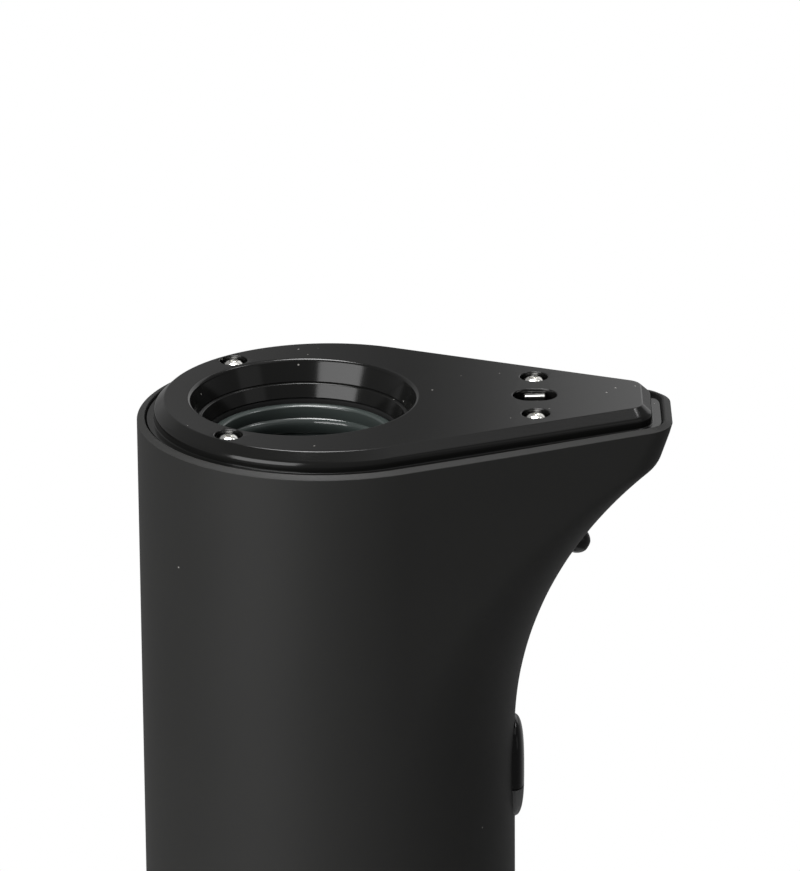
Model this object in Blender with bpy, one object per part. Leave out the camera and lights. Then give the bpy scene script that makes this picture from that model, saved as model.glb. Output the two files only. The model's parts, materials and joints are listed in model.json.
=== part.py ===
"""Automatic soap dispenser with its lift-off top cover taken off.

Metres, +Z up, +X towards the beak. The origin is the middle of the foot's underside.
"""

import math

import bmesh
import bpy
from mathutils import Matrix, Vector

# Overall
BODY_RADIUS = 0.0375
BEAK_LENGTH = 0.0313
TANK_TO_RIM = 0.0855
WALL = 0.0016
GAP = 0.0003
FIT = 0.0001
OVERRUN = 0.002
EMBED = 0.0008

# Beak: flat flanks run off the round body, the front is blunt, the underside is an arc
TIP_FLAT = 0.00592
BEAK_CORNER = 0.0074
ARC_RADIUS = 0.0760
LIP_RADIUS = 0.0062
LIP_DROP = 0.006754
FRONT_DRAFT = math.radians(19.0)

# Base: rubber foot, twist-off battery cover
FOOT_INSET = 0.0045
FOOT_THICK = 0.0020
FOOT_SUNK = 0.0010
COVER_THICK = 0.0030
COVER_EDGE_INSET = 0.0006
SPIGOT_INSET = 0.0047
SPIGOT_WALL = 0.0022
SPIGOT_PLAY = 0.0004
FLANGE_THICK = 0.0027
LUG_DEPTH = 0.0024
LUG_THICK = 0.0020
LUG_WIDTH = math.radians(22.0)
LUG_COUNT = 3
LUG_PLAY = math.radians(3.0)
TWIST = math.radians(30.0)
SEAL_INSET = 0.0022
SEAL_WIDTH = 0.0016
SEAL_THICK = 0.0010
CONTACT_BOSS_MARGIN = 0.0027

# Battery box and four AA cells
CELL_RADIUS = 0.00725
CELL_LENGTH = 0.0505
CELL_NUB_RADIUS = 0.00275
CELL_NUB_HEIGHT = 0.0010
CELL_PITCH = 0.0160
CELL_PLAY = 0.00035
BOX_WALL = 0.0014
BOX_ROOF = 0.0030
CONTACT_THICK = 0.0006
CONTACT_WIDTH = 0.0100
CONTACT_MARGIN = 0.0042

# Chassis
LEDGE_WIDTH = 0.0054
LEDGE_DEPTH = 0.0040
CHASSIS_THICK = 0.0030
CHASSIS_SCREW_INSET = 0.0026
CHASSIS_SCREW_COUNT = 3
CHASSIS_SCREW_TURN = math.radians(60.0)
LEAD_HOLE_INSET = 0.0014
LEAD_HOLE_TURN = math.radians(-26.6)
LEAD_HOLE_RADIUS = 0.0018

# Screws
DECK_SCREW = {"head": 0.00210, "tall": 0.00150, "shank": 0.00120, "length": 0.0085, "slot": 0.0006}
PLATE_SCREW = {"head": 0.00200, "tall": 0.00130, "shank": 0.00110, "length": 0.0060, "slot": 0.0005}
HEAD_SHARES = ((1, 0.5), (0.78, 0.92), (0.45, 1))
SLOT_WIDTH_SHARE = 0.28
SLOT_REACH_SHARE = 0.62
POINT_SHARE = 0.62

# Gear pump
PUMP_MODULE = 0.0009
PUMP_TEETH = 12
PUMP_GEAR_WIDTH = 0.0070
PUMP_X = 0.0080
PUMP_WALL = 0.0036
PUMP_FLOOR = 0.0026
PUMP_COVER = 0.0025
PUMP_SHAFT_RADIUS = 0.0015
SEAL_RADIUS = 0.0038
SEAL_HEIGHT = 0.0018
PORT_REACH = 0.0055
SUCTION_PORT = {"outer": 0.0028, "bore": 0.0018}
DELIVERY_PORT = {"outer": 0.0015, "bore": 0.0009}

# Reduction drive
DRIVE_MODULE = 0.0008
PINION_TEETH = 12
WHEEL_TEETH = 42
WHEEL_WIDTH = 0.0034
PINION_WIDTH = 0.0050
HUB_RADIUS = 0.0035
HUB_HEIGHT = 0.0024
PRESSURE = math.radians(25.0)
ADDENDUM_SHARE = 0.75
DEDENDUM_SHARE = 1.0
BACKLASH = 0.00014

# Motor
MOTOR_RADIUS = 0.0100
MOTOR_HEIGHT = 0.0220
MOTOR_BOSS_RADIUS = 0.0030
MOTOR_BOSS_HEIGHT = 0.0015
MOTOR_SHAFT_RADIUS = 0.0010
MOTOR_SHAFT_SUNK = 0.0080
CRADLE_WALL = 0.0018
CRADLE_HEIGHT = 0.0100

# Reservoir
TANK_CLEARANCE = 0.0016
TANK_WALL = 0.0015
TANK_FLAT_CLEARANCE = 0.0032
TANK_HEADROOM = 0.0066
TANK_SHOULDER_DROP = 0.0170
TANK_SHOULDER_RISE = 0.0040
WELL_X = -0.0044
NECK_CLEARANCE = 0.0003
NECK_WALL = 0.0020
NECK_TOP_DROP = 0.00395
NECK_FLANGE_WIDTH = 0.0026
NECK_FLANGE_DROP = 0.0056
NECK_FLANGE_THICK = 0.0018
OUTLET_INSET = 0.0103
OUTLET_LENGTH = 0.0065

# Hoses
SUCTION_HOSE_WALL = 0.0012
DELIVERY_HOSE_WALL = 0.0011
HOSE_GRIP = 0.0045
SUCTION_BEND_SHARES = ((0.2, 0.42), (0.58, 0.1))
DELIVERY_LANE_STEP = 0.0011
DELIVERY_LANE_INSET = 0.00354
DELIVERY_TURN = (0.0018, 0.0065, 0.0030)
DELIVERY_LOW_SHARES = ((0.74, 1.46), (0.93, 1.18), (1, 1))
DELIVERY_LOW_HEIGHTS = (0.0100, 0.0200, 0.0320)
DELIVERY_HIGH_SHARES = (1, 0.94, 0.72, 0.38)
DELIVERY_HIGH_STEPS = ((0, 0.0100), (0, 0.0250), (0.0010, 0.0400), (0.0030, 0.0530))
DELIVERY_TOP = (-0.0055, 0.0014, 0.0018)
BARREL_PLAY = 0.0010

# Deck
DECK_RISE = 0.00405
DECK_CHAMFER_DROP = 0.00185
DECK_LEDGE_RISE = 0.0002
DECK_TOP_INSET = 0.0054
DECK_TOP_SETBACK = 0.0060
DECK_WALL_INSET = 0.0034
DECK_WALL_SETBACK = 0.0040
DECK_EDGE_INSET = 0.0019
DECK_EDGE_SETBACK = 0.0021
DECK_SKIRT_DROP = 0.0024
DECK_PLATE = 0.0018
DECK_CORNER = 0.0034
WELL_LAND = 0.0152
WELL_TAPER = 0.0014
WELL_STEP_DROP = 0.0004
WELL_STEP_WIDTH = 0.0007
WELL_FOOT_TAPER = 0.0010
WELL_FOOT_DROP = 0.0030
BACK_SCREW_INSET = 0.00863
BACK_SCREW_TURN = math.radians(130.36)
FRONT_SCREW_SETBACK = 0.0272
FRONT_SCREW_MARGIN = 0.0059
COUNTERBORE_RADIUS = 0.0028
COUNTERBORE_DEPTH = 0.0019
DECK_BOSS_RADIUS = 0.0042
DECK_BOSS_DROP = 0.0008
POST_RADIUS = 0.0032
BACK_POST_LENGTH = 0.0110
FIN_WIDTH = 0.0024
POCKET_SIZE = (0.0088, 0.0068)
POCKET_DEPTH = 0.0036
POCKET_WALL = 0.0014
MAGNET_SIZE = (0.0042, 0.0022, 0.0027)

# Nozzle
NOZZLE_TURN = math.radians(32.6)
NOZZLE_RADIUS = 0.0028
NOZZLE_PROUD = 0.0034
NOZZLE_BORE = 0.0010
NOZZLE_FLANGE_RADIUS = 0.0044
NOZZLE_FLANGE_THICK = 0.0012
NOZZLE_SEAT_GAP = 0.0008
NOZZLE_BARREL = 0.0085
VALVE_LENGTH = 0.0024

# Front panel and circuit board
PANEL_BELOW_ARC = 0.0079
PANEL_HALF_WIDTH = 0.0066
PANEL_HALF_HEIGHT = 0.0107
PANEL_PROUD = 0.0019
PANEL_DOME_POWER = 3.0
PANEL_CORNER_SHARE = 2.4
PANEL_DEPTH = 0.0034
PANEL_DOME_SHARES = (1, 0.98, 0.9, 0.7, 0.35)
BUTTON_SHARE = 0.36
BUTTON_TRAVEL = 0.0006
SEAM = 0.00035
BOARD_SETBACK = 0.0087
BOARD_THICK = 0.0016
BOARD_HALF_WIDTH = 0.0105
BOARD_HALF_HEIGHT = 0.0170
BOARD_BOSS_RADIUS = 0.0026
BOARD_BOSS_OFFSET = 0.0139
DIODE_RADIUS = 0.0016
DIODE_LENGTH = 0.0042
DIODE_COLLAR_RADIUS = 0.0020
DIODE_COLLAR_THICK = 0.0010
LENS_TURNS = (0, math.radians(30.0), math.radians(60.0))
DIODE_OFFSET_Y = 0.0030
DIODE_DROP = 0.0012
LIGHT_SIZE = (0.0012, 0.0024, 0.0014)
LIGHT_OFFSET_Z = 0.0052
SWITCH_SIZE = (0.0032, 0.0060, 0.0060)
PLUNGER_RADIUS = 0.0014

# Leads
LEAD_RADIUS = 0.0007
BOX_LEAD_SHARES = ((0, 0.6), (0, 0.7), (0.6, 0.92), (1, 1))
BOX_LEAD_DROPS = (0.0160, 0.0110, 0.0060, 0.0020)
LEAD_RISE_SHARES = (1, 0.95)
LEAD_RISES = (0.0020, 0.0100)
BOARD_LEAD_SHARES = (0.72, 0.68)
LEAD_TAIL = 0.0060
MOTOR_LEAD_STEPS = ((-0.0020, 0, -0.0090), (0.0030, 0.0010, -0.0080))
WHEEL_LEAD_STEPS = (
    (-0.0116, 0, -0.0080),
    (0, 0.0020, -0.0080),
    (0.0094, -0.0010, -0.0060),
    (0.0172, -0.0066, -0.0040),
)
MOTOR_TAIL_SHARES = (0.45, 0.42)

# Fineness
BACK_STEPS = 17
CORNER_STEPS = 6
ARC_STEPS = 8
LIP_STEPS = 3
ROUND_STEPS = 40
SMALL_STEPS = 20
TINY_STEPS = 12
HOSE_STEPS = 8
SMOOTH_LIMIT = math.radians(35.0)

# Radii and fronts that follow from the sizes above
SHELL_INNER = BODY_RADIUS - WALL
BEAK_REACH = BODY_RADIUS + BEAK_LENGTH
CORNER_CENTRE = (BEAK_REACH - BEAK_CORNER, TIP_FLAT)
FLANK_TURN = math.atan2(CORNER_CENTRE[1], CORNER_CENTRE[0])
FLANK_TURN += math.acos((BODY_RADIUS - BEAK_CORNER) / math.hypot(*CORNER_CENTRE))
FOOT_RADIUS = BODY_RADIUS - FOOT_INSET
SPIGOT_RADIUS = SHELL_INNER - SPIGOT_INSET
FLANGE_INNER = SPIGOT_RADIUS + SPIGOT_PLAY
LUG_REACH = SPIGOT_RADIUS + LUG_DEPTH
SEAL_BAND = (BODY_RADIUS - SEAL_INSET - SEAL_WIDTH, BODY_RADIUS - SEAL_INSET)
CONTACT_REACH = CELL_PITCH / 2 + CONTACT_MARGIN
CONTACT_BOSS_RADIUS = math.hypot(CONTACT_REACH, (CELL_PITCH + CONTACT_WIDTH) / 2) + CONTACT_BOSS_MARGIN
LEDGE_INNER = SHELL_INNER - LEDGE_WIDTH
CHASSIS_SCREW_RING = LEDGE_INNER + CHASSIS_SCREW_INSET
LEAD_HOLE_RING = LEDGE_INNER - LEAD_HOLE_INSET
LEAD_HOLE = (LEAD_HOLE_RING * math.cos(LEAD_HOLE_TURN), LEAD_HOLE_RING * math.sin(LEAD_HOLE_TURN))
BOARD_X = SHELL_INNER - BOARD_SETBACK
TANK_RADIUS = SHELL_INNER - TANK_CLEARANCE
TANK_FLAT_X = BOARD_X - TANK_FLAT_CLEARANCE
OUTLET_Y = OUTLET_INSET - TANK_RADIUS
DELIVERY_LANE_X = BOARD_X + DELIVERY_LANE_STEP
DELIVERY_LANE_Y = math.sqrt((SHELL_INNER - DELIVERY_LANE_INSET) ** 2 - DELIVERY_LANE_X**2)
DELIVERY_LANE = (DELIVERY_LANE_X, DELIVERY_LANE_Y)
DECK_TOP_FRONT = BEAK_REACH - DECK_TOP_SETBACK
DECK_WALL_FRONT = BEAK_REACH - DECK_WALL_SETBACK
DECK_EDGE_FRONT = BEAK_REACH - DECK_EDGE_SETBACK
WELL_TOP_RADIUS = BODY_RADIUS - WELL_LAND
WELL_STEP_RADIUS = WELL_TOP_RADIUS - WELL_TAPER
WELL_LEDGE_RADIUS = WELL_STEP_RADIUS - WELL_STEP_WIDTH
WELL_FOOT_RADIUS = WELL_LEDGE_RADIUS - WELL_FOOT_TAPER
NECK_RADIUS = WELL_FOOT_RADIUS - NECK_CLEARANCE
NECK_FLANGE_RADIUS = NECK_RADIUS + NECK_FLANGE_WIDTH
BACK_SCREW_RING = BODY_RADIUS - BACK_SCREW_INSET
BACK_SCREW = (BACK_SCREW_RING * math.cos(BACK_SCREW_TURN), BACK_SCREW_RING * math.sin(BACK_SCREW_TURN))
FRONT_SCREW_X = BEAK_REACH - FRONT_SCREW_SETBACK
FLANK_REACH = BODY_RADIUS - DECK_TOP_INSET - FRONT_SCREW_X * math.cos(FLANK_TURN)
FRONT_SCREW = (FRONT_SCREW_X, FLANK_REACH / math.sin(FLANK_TURN) - FRONT_SCREW_MARGIN)

# Heights that follow, from the foot up
COVER_BOTTOM = FOOT_THICK - FOOT_SUNK
COVER_TOP = COVER_BOTTOM + COVER_THICK
SHELL_BOTTOM = COVER_TOP + GAP
FLANGE_TOP = SHELL_BOTTOM + FLANGE_THICK
LUG_BOTTOM = FLANGE_TOP + GAP
LUG_TOP = LUG_BOTTOM + LUG_THICK
BASE_CONTACT = LUG_TOP + GAP
CELL_BOTTOM = BASE_CONTACT + CONTACT_THICK + GAP
CELL_TOP = CELL_BOTTOM + CELL_LENGTH
BOX_BOTTOM = CELL_BOTTOM + GAP
BOX_CEILING = CELL_TOP + CONTACT_THICK + 2 * GAP
BOX_TOP = BOX_CEILING + BOX_ROOF
LEDGE_TOP = BOX_TOP
CHASSIS_BOTTOM = LEDGE_TOP + GAP
CHASSIS_TOP = CHASSIS_BOTTOM + CHASSIS_THICK
PUMP_BOTTOM = CHASSIS_TOP + GAP
CAVITY_BOTTOM = PUMP_BOTTOM + PUMP_FLOOR
CAVITY_TOP = CAVITY_BOTTOM + PUMP_GEAR_WIDTH + 2 * GAP
PUMP_COVER_BOTTOM = CAVITY_TOP + GAP
PUMP_COVER_TOP = PUMP_COVER_BOTTOM + PUMP_COVER
PORT_Z = (CAVITY_BOTTOM + CAVITY_TOP) / 2
MOTOR_BOTTOM = CHASSIS_TOP + GAP
MOTOR_TOP = MOTOR_BOTTOM + MOTOR_HEIGHT
PINION_BOTTOM = MOTOR_TOP + MOTOR_BOSS_HEIGHT + 2 * GAP
PINION_TOP = PINION_BOTTOM + PINION_WIDTH
WHEEL_BOTTOM = (PINION_BOTTOM + PINION_TOP - WHEEL_WIDTH) / 2
WHEEL_TOP = WHEEL_BOTTOM + WHEEL_WIDTH
TANK_FLOOR_Z = PINION_TOP + TANK_HEADROOM
RIM_HEIGHT = TANK_FLOOR_Z + TANK_TO_RIM
DECK_TOP = RIM_HEIGHT + DECK_RISE

# Places along the gear train
PUMP_CENTRES = PUMP_MODULE * PUMP_TEETH
IDLER_X = PUMP_X + PUMP_CENTRES
PORT_X = PUMP_X + PUMP_CENTRES / 2
MOTOR_X = PUMP_X - DRIVE_MODULE * (WHEEL_TEETH + PINION_TEETH) / 2

# Beak in side view: the lip's centre under the blunt front, the arc's centre below it out in the air
FRONT_DOWN = Vector((-math.sin(FRONT_DRAFT), 0, -math.cos(FRONT_DRAFT)))
FRONT_IN = Vector((-math.cos(FRONT_DRAFT), 0, math.sin(FRONT_DRAFT)))
RIM_FRONT = Vector((BEAK_REACH, 0, RIM_HEIGHT))
LIP_CENTRE = RIM_FRONT + FRONT_IN * LIP_RADIUS + FRONT_DOWN * LIP_DROP
ARC_X = BODY_RADIUS + ARC_RADIUS
ARC_Z = LIP_CENTRE.z - math.sqrt((ARC_RADIUS + LIP_RADIUS) ** 2 - (ARC_X - LIP_CENTRE.x) ** 2)
ARC_CENTRE = Vector((ARC_X, 0, ARC_Z))
PANEL_Z = ARC_Z - PANEL_BELOW_ARC

# Nozzle: its axis is square to the beak's underside
NOZZLE_AXIS = Vector((math.cos(NOZZLE_TURN), 0, -math.sin(NOZZLE_TURN)))
NOZZLE_SEAT = ARC_CENTRE - NOZZLE_AXIS * ARC_RADIUS


def material(name, colour, roughness, metallic=0.0):
    made = bpy.data.materials.new(name)
    made.use_nodes = True
    shader = made.node_tree.nodes["Principled BSDF"]
    shader.inputs["Base Color"].default_value = (*colour, 1)
    shader.inputs["Roughness"].default_value = roughness
    shader.inputs["Metallic"].default_value = metallic
    made.diffuse_color = (*colour, 1)
    return made


def finish(name, mesh, made_of):
    """The mesh as an object of that name, its faces pointing out, smooth where it is round."""
    mesh.name = name
    work = bmesh.new()
    work.from_mesh(mesh)
    bmesh.ops.recalc_face_normals(work, faces=work.faces)
    work.to_mesh(mesh)
    work.free()
    mesh.shade_smooth()
    mesh.set_sharp_from_angle(angle=SMOOTH_LIMIT)
    mesh.materials.append(made_of)
    made = bpy.data.objects.new(name, mesh)
    bpy.context.scene.collection.objects.link(made)
    return made


def place(shape, spot=(0, 0, 0), along=(0, 0, 1)):
    """A shape's points moved to a spot, with its own Z turned to a direction."""
    points, faces = shape
    turn = Vector((0, 0, 1)).rotation_difference(Vector(along)).to_matrix().to_4x4()
    move = Matrix.Translation(Vector(spot)) @ turn
    return [move @ Vector(point) for point in points], faces


def joined(*shapes):
    """Several shapes as one list of points and faces."""
    points = []
    faces = []
    for more, sides in shapes:
        faces += [[index + len(points) for index in side] for side in sides]
        points += more
    return points, faces


def solid(name, shape, made_of):
    points, faces = shape
    mesh = bpy.data.meshes.new(name)
    mesh.from_pydata(points, [], faces)
    return finish(name, mesh, made_of)


def boolean(target, shape, operation, label):
    """Cuts a shape from an object, adds it or keeps what is common, with a hidden helper."""
    helper = solid(f"{target.name}_{label}", shape, target.data.materials[0])
    helper.hide_render = True
    helper.display_type = "WIRE"
    step = target.modifiers.new(label, "BOOLEAN")
    step.operation = operation
    step.solver = "EXACT"
    step.object = helper
    return helper


def loft(rings, closed=False):
    """Rings of as many points each, joined side by side. Open ends are capped."""
    count = len(rings[0])
    points = [point for ring in rings for point in ring]
    faces = []
    for row in range(len(rings) if closed else len(rings) - 1):
        low = row * count
        high = (row + 1) % len(rings) * count
        for step in range(count):
            after = (step + 1) % count
            faces.append([low + step, low + after, high + after, high + step])
    if not closed:
        faces.append(list(range(count))[::-1])
        faces.append(list(range(len(points) - count, len(points))))
    return points, faces


def circle(radius, height, steps, centre=(0, 0)):
    turn = 2 * math.pi / steps
    return [
        Vector((centre[0] + radius * math.cos(turn * k), centre[1] + radius * math.sin(turn * k), height))
        for k in range(steps)
    ]


def turned(profile, steps, centre=(0, 0)):
    """A profile of (radius, height) turned about Z: a solid from pole to pole, or a closed ring."""
    rings = [circle(radius, height, steps, centre) for radius, height in profile]
    if profile[0][0] and profile[-1][0]:
        return loft(rings, closed=True)
    first, last = profile[0], profile[-1]
    inner = [ring for ring, (radius, _) in zip(rings, profile) if radius]
    points, faces = loft(inner)
    caps = faces[-2:]
    faces = faces[:-2]
    for cap, (_, height) in zip(caps, (first, last)):
        points.append(Vector((*centre, height)))
        pole = len(points) - 1
        faces += [[cap[k], cap[(k + 1) % steps], pole] for k in range(steps)]
    return points, faces


def rod(radius, low, high, steps=SMALL_STEPS, centre=(0, 0)):
    return turned([(0, low), (radius, low), (radius, high), (0, high)], steps, centre)


def pipe(inner, outer, low, high, steps=SMALL_STEPS, centre=(0, 0)):
    return turned([(inner, low), (outer, low), (outer, high), (inner, high)], steps, centre)


def block(low, high):
    outline = [(low[0], low[1]), (high[0], low[1]), (high[0], high[1]), (low[0], high[1])]
    return prism(outline, low[2], high[2])


def prism(outline, low, high):
    return loft([[Vector((x, y, z)) for x, y in outline] for z in (low, high)])


def slot(centre, size, margin, low, high):
    """A long hole's shape: straight sides and round ends, with a margin around it."""
    radius = size[1] / 2
    run = (size[0] - size[1]) / 2
    outline = []
    for side in (1, -1):
        for k in range(TINY_STEPS + 1):
            angle = side * math.pi / 2 - math.pi * k / TINY_STEPS
            reach = radius + margin
            outline.append((centre + side * run + reach * math.cos(angle), reach * math.sin(angle)))
    return prism(outline, low, high)


def sector(inner, outer, middle, width, low, high, steps=4):
    """A piece of a flat ring, as a bayonet lug is."""
    angles = [middle + width * (k / steps - 0.5) for k in range(steps + 1)]
    outline = [(outer * math.cos(a), outer * math.sin(a)) for a in angles]
    outline += [(inner * math.cos(a), inner * math.sin(a)) for a in reversed(angles)]
    return prism(outline, low, high)


def ring(radius, front, height, nose=None):
    """One level outline of the body: a round back, two flat flanks and a blunt rounded front.

    nose is (front, corner radius) of the full beak at this inset. The corner grows evenly from it
    into the plain circle as the front draws back to the radius."""
    full_front, full_corner = nose or (BEAK_REACH, BEAK_CORNER)
    across, along = math.cos(FLANK_TURN), math.sin(FLANK_TURN)
    full_flat = (radius - full_corner - (full_front - full_corner) * across) / along
    flat = full_flat * max(front - radius, 0) / (full_front - radius)
    corner = (radius - front * across - flat * along) / (1 - across)
    half = []
    for k in range(CORNER_STEPS + 1):
        angle = FLANK_TURN * k / CORNER_STEPS
        half.append((front - corner + corner * math.cos(angle), flat + corner * math.sin(angle)))
    for k in range(BACK_STEPS):
        angle = FLANK_TURN + (math.pi - FLANK_TURN) * k / BACK_STEPS
        half.append((radius * math.cos(angle), radius * math.sin(angle)))
    points = [(front, 0), *half, (-radius, 0), *[(x, -y) for x, y in reversed(half)]]
    return [Vector((x, y, height)) for x, y in points]


def underside():
    """The middle line of the beak from the rim down: (front, height, way out) at each step."""
    line = [(RIM_FRONT.x, RIM_FRONT.z, -FRONT_IN)]
    towards = ARC_CENTRE - LIP_CENTRE
    turn = math.atan2(-FRONT_IN.z, -FRONT_IN.x)
    end = math.atan2(towards.z, towards.x)
    for k in range(LIP_STEPS + 1):
        angle = turn + (end - turn) * k / LIP_STEPS
        out = Vector((math.cos(angle), 0, math.sin(angle)))
        spot = LIP_CENTRE + out * LIP_RADIUS
        line.append((spot.x, spot.z, out))
    for k in range(1, ARC_STEPS + 1):
        angle = end * (1 - k / ARC_STEPS)
        out = Vector((math.cos(angle), 0, math.sin(angle)))
        spot = ARC_CENTRE - out * ARC_RADIUS
        line.append((spot.x, spot.z, out))
    return line


def involute(angle):
    return math.tan(angle) - angle


def gear_outline(module, teeth, turn):
    """Involute teeth with a little backlash; turn is the angle of one tooth's middle."""
    pitch = module * teeth / 2
    base = pitch * math.cos(PRESSURE)
    tip = pitch + ADDENDUM_SHARE * module
    root = pitch - DEDENDUM_SHARE * module
    half_tooth = math.pi / (2 * teeth) - BACKLASH / (2 * pitch)
    flank = []
    for radius in (max(base, root), pitch, tip):
        pressure = math.acos(min(base / radius, 1))
        flank.append((radius, half_tooth + involute(PRESSURE) - involute(pressure)))
    flank.insert(0, (root, flank[0][1]))
    outline = []
    for tooth in range(teeth):
        middle = turn + 2 * math.pi * tooth / teeth
        outline += [(radius, middle - spread) for radius, spread in flank]
        outline += [(radius, middle + spread) for radius, spread in reversed(flank)]
    return [(radius * math.cos(angle), radius * math.sin(angle)) for radius, angle in outline]


def gear(name, module, teeth, turn, centre_x, low, high, bore, made_of):
    """A gear with its origin on its axis, bored through for its shaft."""
    made = solid(name, prism(gear_outline(module, teeth, turn), low, high), made_of)
    made.location.x = centre_x
    cut = boolean(made, rod(bore, low - OVERRUN, high + OVERRUN), "DIFFERENCE", "bore")
    cut.location.x = centre_x
    return made


def smooth_route(points, pieces=3):
    """Points along a smooth curve through the route's own points."""
    ends = [2 * points[0] - points[1], *points, 2 * points[-1] - points[-2]]
    route = []
    for before, start, end, after in zip(ends, ends[1:], ends[2:], ends[3:]):
        for k in range(pieces):
            t = k / pieces
            route.append(
                (
                    2 * start
                    + (end - before) * t
                    + (2 * before - 5 * start + 4 * end - after) * t**2
                    + (3 * start - before - 3 * end + after) * t**3
                )
                / 2
            )
    return [*route, points[-1]]


def swept(route, radii, steps=HOSE_STEPS):
    """Rings square to a route, one for each radius at each point. The frame is carried along."""
    side = Vector((1, 0, 0)) if abs((route[1] - route[0]).normalized().x) < 0.9 else Vector((0, 1, 0))
    rings = {radius: [] for radius in radii}
    for index, point in enumerate(route):
        ahead = route[min(index + 1, len(route) - 1)] - route[max(index - 1, 0)]
        ahead.normalize()
        side = (side - ahead * side.dot(ahead)).normalized()
        up = ahead.cross(side)
        for radius in radii:
            angles = [2 * math.pi * k / steps for k in range(steps)]
            rings[radius].append([point + (side * math.cos(a) + up * math.sin(a)) * radius for a in angles])
    return rings


def hose(name, route, inner, outer, made_of):
    rings = swept(smooth_route(route), (outer, inner))
    return solid(name, loft(rings[outer] + rings[inner][::-1], closed=True), made_of)


def screw(name, spot, sizes, made_of, along=(0, 0, 1)):
    """A pan-head screw with a cross recess. spot is under its head, on its axis."""
    head, tall, shank = sizes["head"], sizes["tall"], sizes["shank"]
    profile = [
        (0, -sizes["length"]),
        (shank * POINT_SHARE, -sizes["length"]),
        (shank, -sizes["length"] + shank),
        (shank, 0),
        (head, 0),
        *[(head * across, tall * up) for across, up in HEAD_SHARES],
        (0, tall),
    ]
    made = solid(name, place(turned(profile, TINY_STEPS), spot, along), made_of)
    reach = head * SLOT_REACH_SHARE
    thin = head * SLOT_WIDTH_SHARE / 2
    deep = tall - sizes["slot"]
    for label, across, wide in (("slot_a", reach, thin), ("slot_b", thin, reach)):
        cut = block((-across, -wide, deep), (across, wide, tall + OVERRUN))
        boolean(made, place(cut, spot, along), "DIFFERENCE", label)
    return made


def clear_scene():
    for old in list(bpy.data.objects):
        bpy.data.objects.remove(old)


def make_materials():
    return {
        "shell": material("satin_black_abs", (0.032, 0.032, 0.031), 0.42),
        "deck": material("gloss_black_abs", (0.028, 0.028, 0.027), 0.14),
        "tank": material("smoky_tank_plastic", (0.10, 0.11, 0.10), 0.22),
        "rubber": material("black_rubber", (0.03, 0.03, 0.03), 0.75),
        "clear_rubber": material("pale_silicone", (0.62, 0.62, 0.60), 0.40),
        "nickel": material("bright_nickel", (0.72, 0.71, 0.68), 0.20, 1.0),
        "steel": material("zinc_steel", (0.55, 0.55, 0.54), 0.32, 1.0),
        "gear": material("white_acetal", (0.78, 0.77, 0.73), 0.38),
        "grey": material("grey_abs", (0.20, 0.20, 0.20), 0.50),
        "board": material("green_board", (0.03, 0.16, 0.07), 0.45),
        "window": material("infrared_window", (0.010, 0.010, 0.011), 0.07),
        "diode": material("dark_diode", (0.03, 0.02, 0.05), 0.12),
        "light": material("light_lens", (0.75, 0.78, 0.72), 0.25),
        "cell": material("cell_sleeve", (0.10, 0.11, 0.12), 0.35),
        "copper": material("lead_sleeve", (0.35, 0.03, 0.02), 0.45),
    }


def plain(radius, height):
    """A round ring of the body, with as many points as the beak's rings have."""
    return ring(radius, radius, height)


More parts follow.
